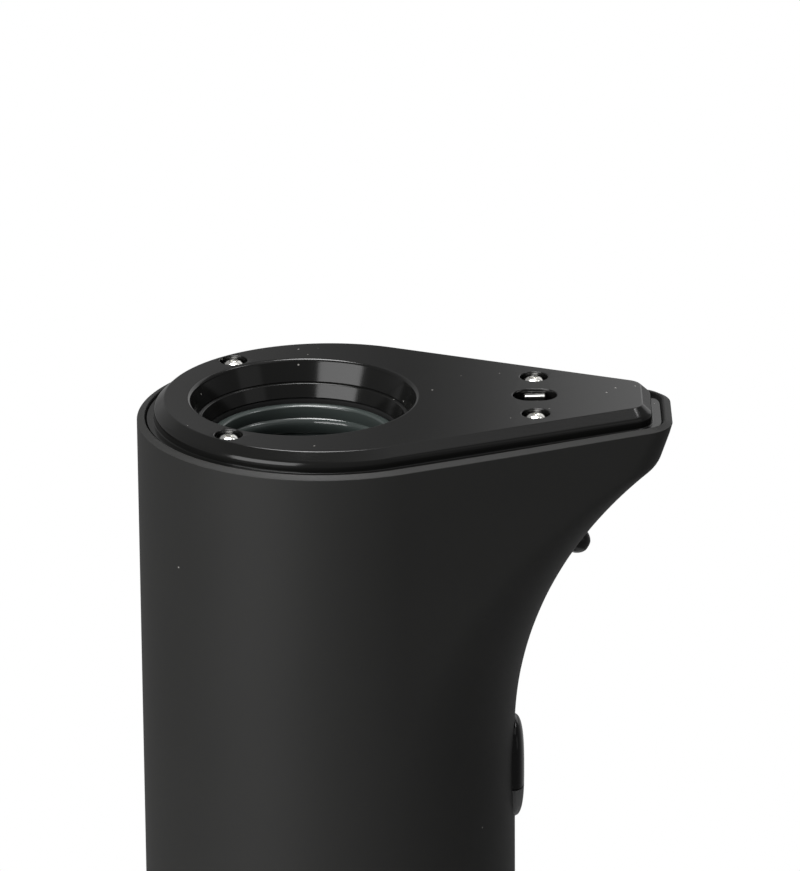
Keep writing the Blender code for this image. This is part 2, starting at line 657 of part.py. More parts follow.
def make_shell(use):
    line = underside()
    outer = [ring(BODY_RADIUS, front, height) for front, height, _ in line]
    outer.append(plain(BODY_RADIUS, SHELL_BOTTOM))
    inner_front = BEAK_REACH - WALL / math.cos(FRONT_DRAFT)
    nose = (inner_front, BEAK_CORNER - WALL)
    inner = [ring(SHELL_INNER, inner_front, RIM_HEIGHT, nose)]
    for front, height, out in line[1:]:
        inner.append(ring(SHELL_INNER, front - out.x * WALL, height - out.z * WALL, nose))
    ledge_reach = SHELL_INNER - LEDGE_INNER
    inner += [
        plain(SHELL_INNER, LEDGE_TOP),
        plain(LEDGE_INNER, LEDGE_TOP),
        plain(LEDGE_INNER, LEDGE_TOP - LEDGE_DEPTH),
        plain(SHELL_INNER, LEDGE_TOP - LEDGE_DEPTH - ledge_reach),
        plain(SHELL_INNER, FLANGE_TOP),
        plain(FLANGE_INNER, FLANGE_TOP),
        plain(FLANGE_INNER, SHELL_BOTTOM),
    ]
    shell = solid("outer_shell", loft(outer + inner[::-1], closed=True), use["shell"])

    post_top = RIM_HEIGHT - DECK_BOSS_DROP - GAP
    posts = []
    beak_posts = []
    fins = []
    for side in (-1, 1):
        back = Vector((BACK_SCREW[0], side * BACK_SCREW[1]))
        front = (FRONT_SCREW[0], side * FRONT_SCREW[1])
        posts.append(rod(POST_RADIUS, post_top - BACK_POST_LENGTH, post_top, SMALL_STEPS, back))
        beak_posts.append(rod(POST_RADIUS, ARC_Z, post_top, SMALL_STEPS, front))
        out = back.normalized() * (SHELL_INNER + EMBED)
        across = Vector((-back.y, back.x)).normalized() * FIN_WIDTH / 2
        corners = [back - across, out - across, out + across, back + across]
        fins.append(prism(corners, post_top - BACK_POST_LENGTH + EMBED, RIM_HEIGHT - DECK_SKIRT_DROP - GAP))
    for offset in (-BOARD_BOSS_OFFSET, BOARD_BOSS_OFFSET):
        reach = SHELL_INNER + EMBED - BOARD_X - BOARD_THICK - GAP
        boss = rod(BOARD_BOSS_RADIUS, 0, reach)
        posts.append(place(boss, (BOARD_X + BOARD_THICK + GAP, 0, PANEL_Z + offset), (1, 0, 0)))
    boolean(shell, joined(*fins), "UNION", "fins")
    boolean(shell, joined(*posts), "UNION", "posts")
    # The beak's posts run down into its underside, as far as half the wall
    sunk = WALL - EMBED
    core = [ring(SHELL_INNER + EMBED, front - out.x * sunk, height - out.z * sunk) for front, height, out in line]
    core_post = boolean(shell, joined(*beak_posts), "UNION", "beak_posts")
    boolean(core_post, loft(core), "INTERSECT", "core")

    holes = []
    depth = DECK_SCREW["length"] + OVERRUN
    for spot in (BACK_SCREW, FRONT_SCREW):
        for side in (-1, 1):
            centre = (spot[0], side * spot[1])
            bore = DECK_SCREW["shank"] + FIT
            holes.append(rod(bore, post_top - depth, post_top + OVERRUN, TINY_STEPS, centre))
    screw_end = LEDGE_TOP - PLATE_SCREW["length"]
    for k in range(CHASSIS_SCREW_COUNT):
        holes.append(chassis_screw_hole(k, PLATE_SCREW["shank"] + FIT, screw_end, LEDGE_TOP))
    for offset in (-BOARD_BOSS_OFFSET, BOARD_BOSS_OFFSET):
        hole = rod(PLATE_SCREW["shank"] + FIT, -OVERRUN, PLATE_SCREW["length"] - BOARD_THICK, TINY_STEPS)
        holes.append(place(hole, (BOARD_X + BOARD_THICK + GAP, 0, PANEL_Z + offset), (1, 0, 0)))
    for k in range(LUG_COUNT):
        middle = TWIST + 2 * math.pi * k / LUG_COUNT
        wide = LUG_WIDTH + LUG_PLAY + 2 * GAP / LUG_REACH
        low, high = SHELL_BOTTOM - OVERRUN, FLANGE_TOP + FIT
        holes.append(sector(FLANGE_INNER - OVERRUN, LUG_REACH + GAP, middle, wide, low, high))
    holes.append(place(panel_prism(GAP, -OVERRUN, WALL + 2 * OVERRUN), (SHELL_INNER, 0, PANEL_Z), (1, 0, 0)))
    nozzle_hole = rod(NOZZLE_RADIUS + GAP, -WALL - OVERRUN, OVERRUN)
    holes.append(place(nozzle_hole, NOZZLE_SEAT, NOZZLE_AXIS))
    boolean(shell, joined(*holes), "DIFFERENCE", "holes")


def chassis_screw_spot(index):
    angle = CHASSIS_SCREW_TURN + 2 * math.pi * index / CHASSIS_SCREW_COUNT
    return CHASSIS_SCREW_RING * math.cos(angle), CHASSIS_SCREW_RING * math.sin(angle)


def chassis_screw_hole(index, radius, low, top):
    return rod(radius, low, top + OVERRUN, TINY_STEPS, chassis_screw_spot(index))


def panel_outline(margin, scale=1.0, steps=ROUND_STEPS):
    """The oval of the front panel: across is its own X, up and down its own Y."""
    power = 2 / PANEL_CORNER_SHARE
    points = []
    for k in range(steps):
        angle = 2 * math.pi * k / steps
        across, up = math.cos(angle), math.sin(angle)
        points.append(
            (
                math.copysign(abs(across) ** power, across) * (PANEL_HALF_WIDTH + margin) * scale,
                math.copysign(abs(up) ** power, up) * (PANEL_HALF_HEIGHT + margin) * scale,
            )
        )
    return points


def panel_prism(margin, low, high):
    """An upright oval whose own Z will point out of the front: its X is then down and its Y across."""
    return prism([(-up, across) for across, up in panel_outline(margin)], low, high)


def make_deck(use):
    def level(inset, front, height):
        corner = max(DECK_CORNER + DECK_TOP_INSET - inset, DECK_CORNER)
        return ring(BODY_RADIUS - inset, front, height, (front, corner))

    plate_inset = DECK_WALL_INSET + DECK_PLATE
    plate_front = DECK_WALL_FRONT - DECK_PLATE
    skirt_front = DECK_EDGE_FRONT - DECK_SKIRT_DROP * math.tan(FRONT_DRAFT)
    levels = [
        level(plate_inset, plate_front, DECK_TOP - DECK_PLATE),
        level(plate_inset, plate_front, RIM_HEIGHT - DECK_SKIRT_DROP),
        level(DECK_EDGE_INSET, skirt_front, RIM_HEIGHT - DECK_SKIRT_DROP),
        level(DECK_EDGE_INSET, DECK_EDGE_FRONT, RIM_HEIGHT + DECK_LEDGE_RISE),
        level(DECK_WALL_INSET, DECK_WALL_FRONT, RIM_HEIGHT + DECK_LEDGE_RISE),
        level(DECK_WALL_INSET, DECK_WALL_FRONT, DECK_TOP - DECK_CHAMFER_DROP),
        level(DECK_TOP_INSET, DECK_TOP_FRONT, DECK_TOP),
    ]
    deck = solid("deck_plate", loft(levels), use["deck"])

    well = (WELL_X, 0)
    under = DECK_TOP - EMBED
    funnel_radius = WELL_STEP_RADIUS + DECK_PLATE - EMBED
    bosses = [rod(funnel_radius, RIM_HEIGHT - WELL_FOOT_DROP, under, ROUND_STEPS, well)]
    for spot in (BACK_SCREW, FRONT_SCREW):
        for side in (-1, 1):
            centre = (spot[0], side * spot[1])
            bosses.append(rod(DECK_BOSS_RADIUS, RIM_HEIGHT - DECK_BOSS_DROP, under, SMALL_STEPS, centre))
    pocket_floor = DECK_TOP - POCKET_DEPTH
    bosses.append(slot(FRONT_SCREW[0], POCKET_SIZE, POCKET_WALL, pocket_floor - POCKET_WALL, under))
    boolean(deck, joined(*bosses), "UNION", "bosses")

    step = RIM_HEIGHT - WELL_STEP_DROP
    slope = (WELL_STEP_RADIUS - WELL_TOP_RADIUS) / (step - DECK_TOP)
    over = OVERRUN * slope
    ledge_slope = (WELL_LEDGE_RADIUS - WELL_FOOT_RADIUS) / (WELL_FOOT_DROP - WELL_STEP_DROP)
    cuts = [
        turned(
            [
                (0, RIM_HEIGHT - WELL_FOOT_DROP - OVERRUN),
                (WELL_FOOT_RADIUS - OVERRUN * ledge_slope, RIM_HEIGHT - WELL_FOOT_DROP - OVERRUN),
                (WELL_LEDGE_RADIUS, step),
                (WELL_STEP_RADIUS, step),
                (WELL_TOP_RADIUS + over, DECK_TOP + OVERRUN),
                (0, DECK_TOP + OVERRUN),
            ],
            ROUND_STEPS,
            well,
        )
    ]
    for spot in (BACK_SCREW, FRONT_SCREW):
        for side in (-1, 1):
            floor = DECK_TOP - COUNTERBORE_DEPTH
            bore = DECK_SCREW["shank"] + FIT
            profile = [
                (0, RIM_HEIGHT - DECK_BOSS_DROP - OVERRUN),
                (bore, RIM_HEIGHT - DECK_BOSS_DROP - OVERRUN),
                (bore, floor),
                (COUNTERBORE_RADIUS, floor),
                (COUNTERBORE_RADIUS, DECK_TOP + OVERRUN),
                (0, DECK_TOP + OVERRUN),
            ]
            cuts.append(turned(profile, SMALL_STEPS, (spot[0], side * spot[1])))
    cuts.append(slot(FRONT_SCREW[0], POCKET_SIZE, 0, pocket_floor, DECK_TOP + OVERRUN))
    boolean(deck, joined(*cuts), "DIFFERENCE", "cuts")

    seat = DECK_TOP - COUNTERBORE_DEPTH + GAP
    for end, spot in (("back", BACK_SCREW), ("front", FRONT_SCREW)):
        for hand, side in (("right", -1), ("left", 1)):
            screw(f"deck_screw_{end}_{hand}", (spot[0], side * spot[1], seat), DECK_SCREW, use["nickel"])

    # The catch magnet stands against the pocket's left wall
    half = [size / 2 for size in MAGNET_SIZE]
    middle = Vector((FRONT_SCREW[0], POCKET_SIZE[1] / 2 - half[1] - GAP, pocket_floor + GAP + half[2]))
    solid("catch_magnet", place(block([-h for h in half], half), middle), use["nickel"])


def make_tank(use):
    def level(radius, height, flat, centre=0.0):
        around = circle(radius, height, ROUND_STEPS, (centre, 0))
        return [Vector((min(point.x, flat), point.y, height)) for point in around]

    shoulder = RIM_HEIGHT - TANK_SHOULDER_DROP
    neck_foot = shoulder + TANK_SHOULDER_RISE
    neck_top = RIM_HEIGHT - NECK_TOP_DROP
    flange_top = RIM_HEIGHT - NECK_FLANGE_DROP
    flange_foot = flange_top - NECK_FLANGE_THICK
    flat = TANK_FLAT_X
    bore = NECK_RADIUS - NECK_WALL
    levels = [
        level(TANK_RADIUS, TANK_FLOOR_Z, flat),
        level(TANK_RADIUS, shoulder, flat),
        level(NECK_RADIUS, neck_foot, flat, WELL_X),
        level(NECK_RADIUS, flange_foot, flat, WELL_X),
        level(NECK_FLANGE_RADIUS, flange_foot, flat, WELL_X),
        level(NECK_FLANGE_RADIUS, flange_top, flat, WELL_X),
        level(NECK_RADIUS, flange_top, flat, WELL_X),
        level(NECK_RADIUS, neck_top, flat, WELL_X),
        level(bore, neck_top, flat, WELL_X),
        level(bore, neck_foot - TANK_WALL, flat, WELL_X),
        level(TANK_RADIUS - TANK_WALL, shoulder - TANK_WALL, flat - TANK_WALL),
        level(TANK_RADIUS - TANK_WALL, TANK_FLOOR_Z + TANK_WALL, flat - TANK_WALL),
    ]
    tank = solid("reservoir", loft(levels), use["tank"])
    outlet = (PORT_X, OUTLET_Y)
    low = TANK_FLOOR_Z - OUTLET_LENGTH
    nipple = rod(SUCTION_PORT["outer"], low, TANK_FLOOR_Z + EMBED, TINY_STEPS, outlet)
    boolean(tank, nipple, "UNION", "outlet")
    high = TANK_FLOOR_Z + TANK_WALL + OVERRUN
    bore = rod(SUCTION_PORT["bore"], low - OVERRUN, high, TINY_STEPS, outlet)
    boolean(tank, bore, "DIFFERENCE", "outlet_bore")
    gasket_low = flange_top + GAP
    gasket_high = RIM_HEIGHT - WELL_FOOT_DROP - GAP
    around = (WELL_X, 0)
    ring_shape = pipe(NECK_RADIUS + GAP, NECK_FLANGE_RADIUS, gasket_low, gasket_high, ROUND_STEPS, around)
    solid("well_gasket", ring_shape, use["rubber"])


def twin_round(radius, start):
    """An outline round both pump gears: each arc leaves the line of centres by the start angle."""
    arc = []
    for k in range(SMALL_STEPS + 1):
        angle = start + 2 * (math.pi - start) * k / SMALL_STEPS
        arc.append((PUMP_X + radius * math.cos(angle), radius * math.sin(angle)))
    far = [(PUMP_X + IDLER_X - x, -y) for x, y in arc]
    touching = math.dist(far[0], arc[-1]) < FIT
    return arc + (far[1:-1] if touching else far)


def make_pump(use):
    """The gear pump on the chassis: two meshing gears in a cavity of two overlapping bores."""
    gear_tip = PUMP_MODULE * (PUMP_TEETH / 2 + ADDENDUM_SHARE)
    cavity = gear_tip + GAP
    outer = cavity + PUMP_WALL
    outline = twin_round(outer, math.pi / 2)
    housing = solid("pump_housing", prism(outline, PUMP_BOTTOM, CAVITY_TOP), use["grey"])
    ports = []
    bores = []
    for side, sizes in ((-1, SUCTION_PORT), (1, DELIVERY_PORT)):
        port = rod(sizes["outer"], outer - EMBED, outer + PORT_REACH, TINY_STEPS)
        bore = rod(sizes["bore"], cavity / 2, outer + PORT_REACH + OVERRUN, TINY_STEPS)
        ports.append(place(port, (PORT_X, 0, PORT_Z), (0, side, 0)))
        bores.append(place(bore, (PORT_X, 0, PORT_Z), (0, side, 0)))
    boolean(housing, joined(*ports), "UNION", "ports")
    chamber = twin_round(cavity, math.acos(PUMP_CENTRES / 2 / cavity))
    boolean(housing, prism(chamber, CAVITY_BOTTOM, CAVITY_TOP + OVERRUN), "DIFFERENCE", "chamber")
    boolean(housing, joined(*bores), "DIFFERENCE", "port_bores")
    step_low = PUMP_BOTTOM + GAP
    pins = [
        rod(PUMP_SHAFT_RADIUS + FIT, step_low, CAVITY_TOP + OVERRUN, SMALL_STEPS, (centre_x, 0))
        for centre_x in (PUMP_X, IDLER_X)
    ]
    boolean(housing, joined(*pins), "DIFFERENCE", "pin_bores")

    cover = solid("pump_cover", prism(outline, PUMP_COVER_BOTTOM, PUMP_COVER_TOP), use["grey"])
    recess = PUMP_COVER_TOP - SEAL_HEIGHT + GAP
    cuts = [
        turned(
            [
                (0, PUMP_COVER_BOTTOM - OVERRUN),
                (PUMP_SHAFT_RADIUS + FIT, PUMP_COVER_BOTTOM - OVERRUN),
                (PUMP_SHAFT_RADIUS + FIT, recess),
                (SEAL_RADIUS + GAP, recess),
                (SEAL_RADIUS + GAP, PUMP_COVER_TOP + OVERRUN),
                (0, PUMP_COVER_TOP + OVERRUN),
            ],
            SMALL_STEPS,
            (PUMP_X, 0),
        )
    ]
    screw_y = cavity + PUMP_WALL / 2
    spots = [(IDLER_X, screw_y), (PUMP_X, -screw_y)]
    hole = PLATE_SCREW["shank"] + FIT
    low, high = PUMP_COVER_BOTTOM - OVERRUN, PUMP_COVER_TOP + OVERRUN
    cuts += [rod(hole, low, high, TINY_STEPS, spot) for spot in spots]
    boolean(cover, joined(*cuts), "DIFFERENCE", "holes")
    deep = PUMP_COVER_TOP - PLATE_SCREW["length"]
    blind = [rod(hole, deep, CAVITY_TOP + OVERRUN, TINY_STEPS, spot) for spot in spots]
    boolean(housing, joined(*blind), "DIFFERENCE", "screw_holes")
    for name, spot in zip(("pump_screw_left", "pump_screw_right"), spots):
        screw(name, (*spot, PUMP_COVER_TOP + GAP), PLATE_SCREW, use["steel"])

    low = CAVITY_BOTTOM + GAP
    high = low + PUMP_GEAR_WIDTH
    bore = PUMP_SHAFT_RADIUS + FIT
    half_pitch = math.pi / PUMP_TEETH
    gear("pump_drive_gear", PUMP_MODULE, PUMP_TEETH, 0, PUMP_X, low, high, bore, use["gear"])
    gear("pump_idler_gear", PUMP_MODULE, PUMP_TEETH, half_pitch, IDLER_X, low, high, bore, use["gear"])
    pin = rod(PUMP_SHAFT_RADIUS, step_low + GAP, CAVITY_TOP, SMALL_STEPS, (IDLER_X, 0))
    solid("pump_idler_pin", pin, use["steel"])
    shaft = rod(PUMP_SHAFT_RADIUS, step_low + GAP, WHEEL_TOP + GAP)
    solid("pump_drive_shaft", shaft, use["steel"]).location.x = PUMP_X
    low = recess + GAP
    seal = pipe(PUMP_SHAFT_RADIUS + FIT, SEAL_RADIUS, low, low + SEAL_HEIGHT, SMALL_STEPS, (PUMP_X, 0))
    solid("shaft_seal", seal, use["rubber"])


def make_drive(use):
    bore = PUMP_SHAFT_RADIUS + FIT
    low, high = WHEEL_BOTTOM, WHEEL_TOP
    wheel = gear("reduction_wheel", DRIVE_MODULE, WHEEL_TEETH, 0, PUMP_X, low, high, bore, use["gear"])
    hub = pipe(bore, HUB_RADIUS, WHEEL_BOTTOM - HUB_HEIGHT, WHEEL_BOTTOM + EMBED)
    boolean(wheel, hub, "UNION", "hub").location.x = PUMP_X

    turn = 0 if WHEEL_TEETH % 2 else math.pi / PINION_TEETH
    bore = MOTOR_SHAFT_RADIUS + FIT
    low, high = PINION_BOTTOM, PINION_TOP
    gear("motor_pinion", DRIVE_MODULE, PINION_TEETH, turn, MOTOR_X, low, high, bore, use["gear"])
    shaft = rod(MOTOR_SHAFT_RADIUS, MOTOR_TOP - MOTOR_SHAFT_SUNK + GAP, PINION_TOP + GAP, TINY_STEPS)
    solid("motor_shaft", shaft, use["steel"]).location.x = MOTOR_X
    edge = MOTOR_BOSS_HEIGHT / 2
    motor = turned(
        [
            (0, MOTOR_BOTTOM),
            (MOTOR_RADIUS - edge, MOTOR_BOTTOM),
            (MOTOR_RADIUS, MOTOR_BOTTOM + edge),
            (MOTOR_RADIUS, MOTOR_TOP - edge),
            (MOTOR_RADIUS - edge, MOTOR_TOP),
            (MOTOR_BOSS_RADIUS, MOTOR_TOP),
            (MOTOR_BOSS_RADIUS, MOTOR_TOP + MOTOR_BOSS_HEIGHT),
            (MOTOR_SHAFT_RADIUS + FIT, MOTOR_TOP + MOTOR_BOSS_HEIGHT),
            (MOTOR_SHAFT_RADIUS + FIT, MOTOR_TOP - MOTOR_SHAFT_SUNK),
            (0, MOTOR_TOP - MOTOR_SHAFT_SUNK),
        ],
        SMALL_STEPS,
        (MOTOR_X, 0),
    )
    solid("motor", motor, use["steel"])
    inner = MOTOR_RADIUS + GAP
    high = MOTOR_BOTTOM + CRADLE_HEIGHT
    cradle = pipe(inner, inner + CRADLE_WALL, MOTOR_BOTTOM, high, SMALL_STEPS, (MOTOR_X, 0))
    cradle = solid("motor_cradle", cradle, use["grey"])
    gear_tip = PUMP_MODULE * (PUMP_TEETH / 2 + ADDENDUM_SHARE)
    pump_edge = PUMP_X - gear_tip - GAP - PUMP_WALL - 2 * GAP
    tall = CRADLE_HEIGHT + OVERRUN
    side = inner + CRADLE_WALL
    low = (pump_edge, -side, MOTOR_BOTTOM - OVERRUN)
    boolean(cradle, block(low, (pump_edge + side, side, MOTOR_BOTTOM + tall)), "DIFFERENCE", "pump_side")


def make_chassis(use):
    plate = rod(SHELL_INNER - GAP, CHASSIS_BOTTOM, CHASSIS_TOP, ROUND_STEPS)
    chassis = solid("chassis_plate", plate, use["grey"])
    clear = PLATE_SCREW["shank"] + FIT
    low = CHASSIS_BOTTOM - OVERRUN
    holes = [chassis_screw_hole(k, clear, low, CHASSIS_TOP) for k in range(CHASSIS_SCREW_COUNT)]
    holes.append(rod(LEAD_HOLE_RADIUS, low, CHASSIS_TOP + OVERRUN, TINY_STEPS, LEAD_HOLE))
    boolean(chassis, joined(*holes), "DIFFERENCE", "holes")
    for k in range(CHASSIS_SCREW_COUNT):
        spot = (*chassis_screw_spot(k), CHASSIS_TOP + GAP)
        screw(f"chassis_screw_{k + 1}", spot, PLATE_SCREW, use["steel"])


def make_battery_box(use):
    half = CELL_PITCH / 2
    corner = CELL_RADIUS + CELL_PLAY + BOX_WALL
    outline = []
    for quarter, (x, y) in enumerate(((half, half), (-half, half), (-half, -half), (half, -half))):
        for k in range(TINY_STEPS // 4 + 1):
            angle = math.pi / 2 * (quarter + k / (TINY_STEPS // 4))
            outline.append((x + corner * math.cos(angle), y + corner * math.sin(angle)))
    box = solid("battery_box", prism(outline, BOX_BOTTOM, BOX_TOP), use["grey"])
    spots = [(x, y) for x in (-half, half) for y in (-half, half)]
    bore = CELL_RADIUS + CELL_PLAY
    cuts = [rod(bore, BOX_BOTTOM - OVERRUN, BOX_CEILING, SMALL_STEPS, spot) for spot in spots]
    boolean(box, joined(*cuts), "DIFFERENCE", "bores")
    reach = half + CONTACT_MARGIN + GAP
    wide = CONTACT_WIDTH / 2 + GAP
    slots = [block((-half - wide, -reach, CELL_TOP), (wide - half, reach, BOX_CEILING))]
    boolean(box, joined(*slots), "DIFFERENCE", "contact_slot")

    body = CELL_LENGTH - CELL_NUB_HEIGHT
    edge = CELL_NUB_HEIGHT / 2
    profile = [
        (0, 0),
        (CELL_RADIUS - edge, 0),
        (CELL_RADIUS, edge),
        (CELL_RADIUS, body - edge),
        (CELL_RADIUS - edge, body),
        (CELL_NUB_RADIUS, body),
        (CELL_NUB_RADIUS, CELL_LENGTH),
        (0, CELL_LENGTH),
    ]
    for index, (x, y) in enumerate(spots):
        up = (index + index // 2) % 2 == 0
        spot = (x, y, CELL_BOTTOM if up else CELL_TOP)
        shape = place(turned(profile, SMALL_STEPS), spot, (0, 0, 1 if up else -1))
        solid(f"battery_cell_{index + 1}", shape, use["cell"])

    low = CELL_TOP + GAP
    high = low + CONTACT_THICK
    reach = half + CONTACT_MARGIN
    wide = CONTACT_WIDTH / 2
    solid("contact_top_bridge", block((-half - wide, -reach, low), (wide - half, reach, high)), use["nickel"])
    for name, side in (("contact_top_minus", -1), ("contact_top_plus", 1)):
        plate = block((half - wide, side * half - wide, low), (half + wide, side * half + wide, high))
        solid(name, plate, use["nickel"])


def make_base(use):
    edge = BODY_RADIUS - COVER_EDGE_INSET
    seat = FOOT_THICK + GAP
    groove = COVER_TOP - SEAL_THICK - GAP
    cover = solid(
        "battery_cover",
        turned(
            [
                (0, seat),
                (FOOT_RADIUS + GAP, seat),
                (FOOT_RADIUS + GAP, COVER_BOTTOM),
                (edge, COVER_BOTTOM),
                (edge, COVER_TOP),
                (SEAL_BAND[1] + GAP, COVER_TOP),
                (SEAL_BAND[1] + GAP, groove),
                (SEAL_BAND[0] - GAP, groove),
                (SEAL_BAND[0] - GAP, COVER_TOP),
                (SPIGOT_RADIUS, COVER_TOP),
                (SPIGOT_RADIUS, LUG_TOP),
                (SPIGOT_RADIUS - SPIGOT_WALL, LUG_TOP),
                (SPIGOT_RADIUS - SPIGOT_WALL, COVER_TOP),
                (CONTACT_BOSS_RADIUS, COVER_TOP),
                (CONTACT_BOSS_RADIUS, LUG_TOP),
                (0, LUG_TOP),
            ],
            ROUND_STEPS,
        ),
        use["shell"],
    )
    lugs = [
        sector(SPIGOT_RADIUS - EMBED, LUG_REACH, 2 * math.pi * k / LUG_COUNT, LUG_WIDTH, LUG_BOTTOM, LUG_TOP)
        for k in range(LUG_COUNT)
    ]
    boolean(cover, joined(*lugs), "UNION", "lugs")
    seal = pipe(*SEAL_BAND, groove + GAP, groove + GAP + SEAL_THICK, ROUND_STEPS)
    solid("battery_seal", seal, use["rubber"])
    solid("foot_pad", rod(FOOT_RADIUS, 0, FOOT_THICK, ROUND_STEPS), use["rubber"])
    half = CELL_PITCH / 2
    reach = half + CONTACT_MARGIN
    wide = CONTACT_WIDTH / 2
    for name, side in (("contact_base_right", -1), ("contact_base_left", 1)):
        low = (-reach, side * half - wide, BASE_CONTACT)
        high = (reach, side * half + wide, BASE_CONTACT + CONTACT_THICK)
        solid(name, block(low, high), use["nickel"])


def make_nozzle(use):
    barrel = DELIVERY_PORT["outer"]
    flange_top = -WALL - NOZZLE_SEAT_GAP
    flange_foot = flange_top - NOZZLE_FLANGE_THICK
    dome = []
    for k in range(CORNER_STEPS):
        angle = math.pi / 2 * k / CORNER_STEPS
        dome.append((NOZZLE_RADIUS * math.cos(angle), NOZZLE_PROUD * math.sin(angle)))
    dome = [(radius, height) for radius, height in dome if radius > NOZZLE_BORE]
    profile = [
        (NOZZLE_BORE, -NOZZLE_BARREL),
        (barrel, -NOZZLE_BARREL),
        (barrel, flange_foot),
        (NOZZLE_FLANGE_RADIUS, flange_foot),
        (NOZZLE_FLANGE_RADIUS, flange_top),
        (NOZZLE_RADIUS, flange_top),
        *dome,
        (NOZZLE_BORE, dome[-1][1]),
    ]
    solid("nozzle_tip", place(turned(profile, SMALL_STEPS), NOZZLE_SEAT, NOZZLE_AXIS), use["deck"])
    low = -NOZZLE_BARREL + GAP
    valve = rod(NOZZLE_BORE - FIT, low, low + VALVE_LENGTH, TINY_STEPS)
    solid("nozzle_valve", place(valve, NOZZLE_SEAT, NOZZLE_AXIS), use["clear_rubber"])


def make_hoses(use):
    gear_tip = PUMP_MODULE * (PUMP_TEETH / 2 + ADDENDUM_SHARE)
    port_end = gear_tip + GAP + PUMP_WALL + PORT_REACH
    inner = SUCTION_PORT["outer"] + GAP
    top = TANK_FLOOR_Z - OUTLET_LENGTH + HOSE_GRIP
    bend = -OUTLET_Y - port_end
    route = [
        Vector((PORT_X, OUTLET_Y, top)),
        Vector((PORT_X, OUTLET_Y, (top + PORT_Z + bend) / 2)),
        Vector((PORT_X, OUTLET_Y, PORT_Z + bend)),
        *[Vector((PORT_X, OUTLET_Y + bend * along, PORT_Z + bend * up)) for along, up in SUCTION_BEND_SHARES],
        Vector((PORT_X, -port_end, PORT_Z)),
        Vector((PORT_X, HOSE_GRIP - port_end, PORT_Z)),
    ]
    hose("suction_hose", route, inner, inner + SUCTION_HOSE_WALL, use["rubber"])

    inner = DELIVERY_PORT["outer"] + GAP
    lane_x, lane_y = DELIVERY_LANE
    barrel_runs = (HOSE_GRIP, 0, BARREL_PLAY - HOSE_GRIP)
    barrel = [NOZZLE_SEAT - NOZZLE_AXIS * (NOZZLE_BARREL + run) for run in barrel_runs]
    port = Vector((PORT_X, port_end, PORT_Z))
    route = [port + Vector((0, run, 0)) for run in (-HOSE_GRIP, 0, OVERRUN)]
    route.append(port + Vector(DELIVERY_TURN))
    for (share_x, share_y), height in zip(DELIVERY_LOW_SHARES, DELIVERY_LOW_HEIGHTS):
        route.append(Vector((lane_x * share_x, lane_y * share_y, PORT_Z + height)))
    for share, (forward, height) in zip(DELIVERY_HIGH_SHARES, DELIVERY_HIGH_STEPS):
        route.append(Vector((lane_x + forward, lane_y * share, PANEL_Z + height)))
    route += [barrel[0] + Vector(DELIVERY_TOP), *barrel]
    hose("delivery_hose", route, inner, inner + DELIVERY_HOSE_WALL, use["clear_rubber"])


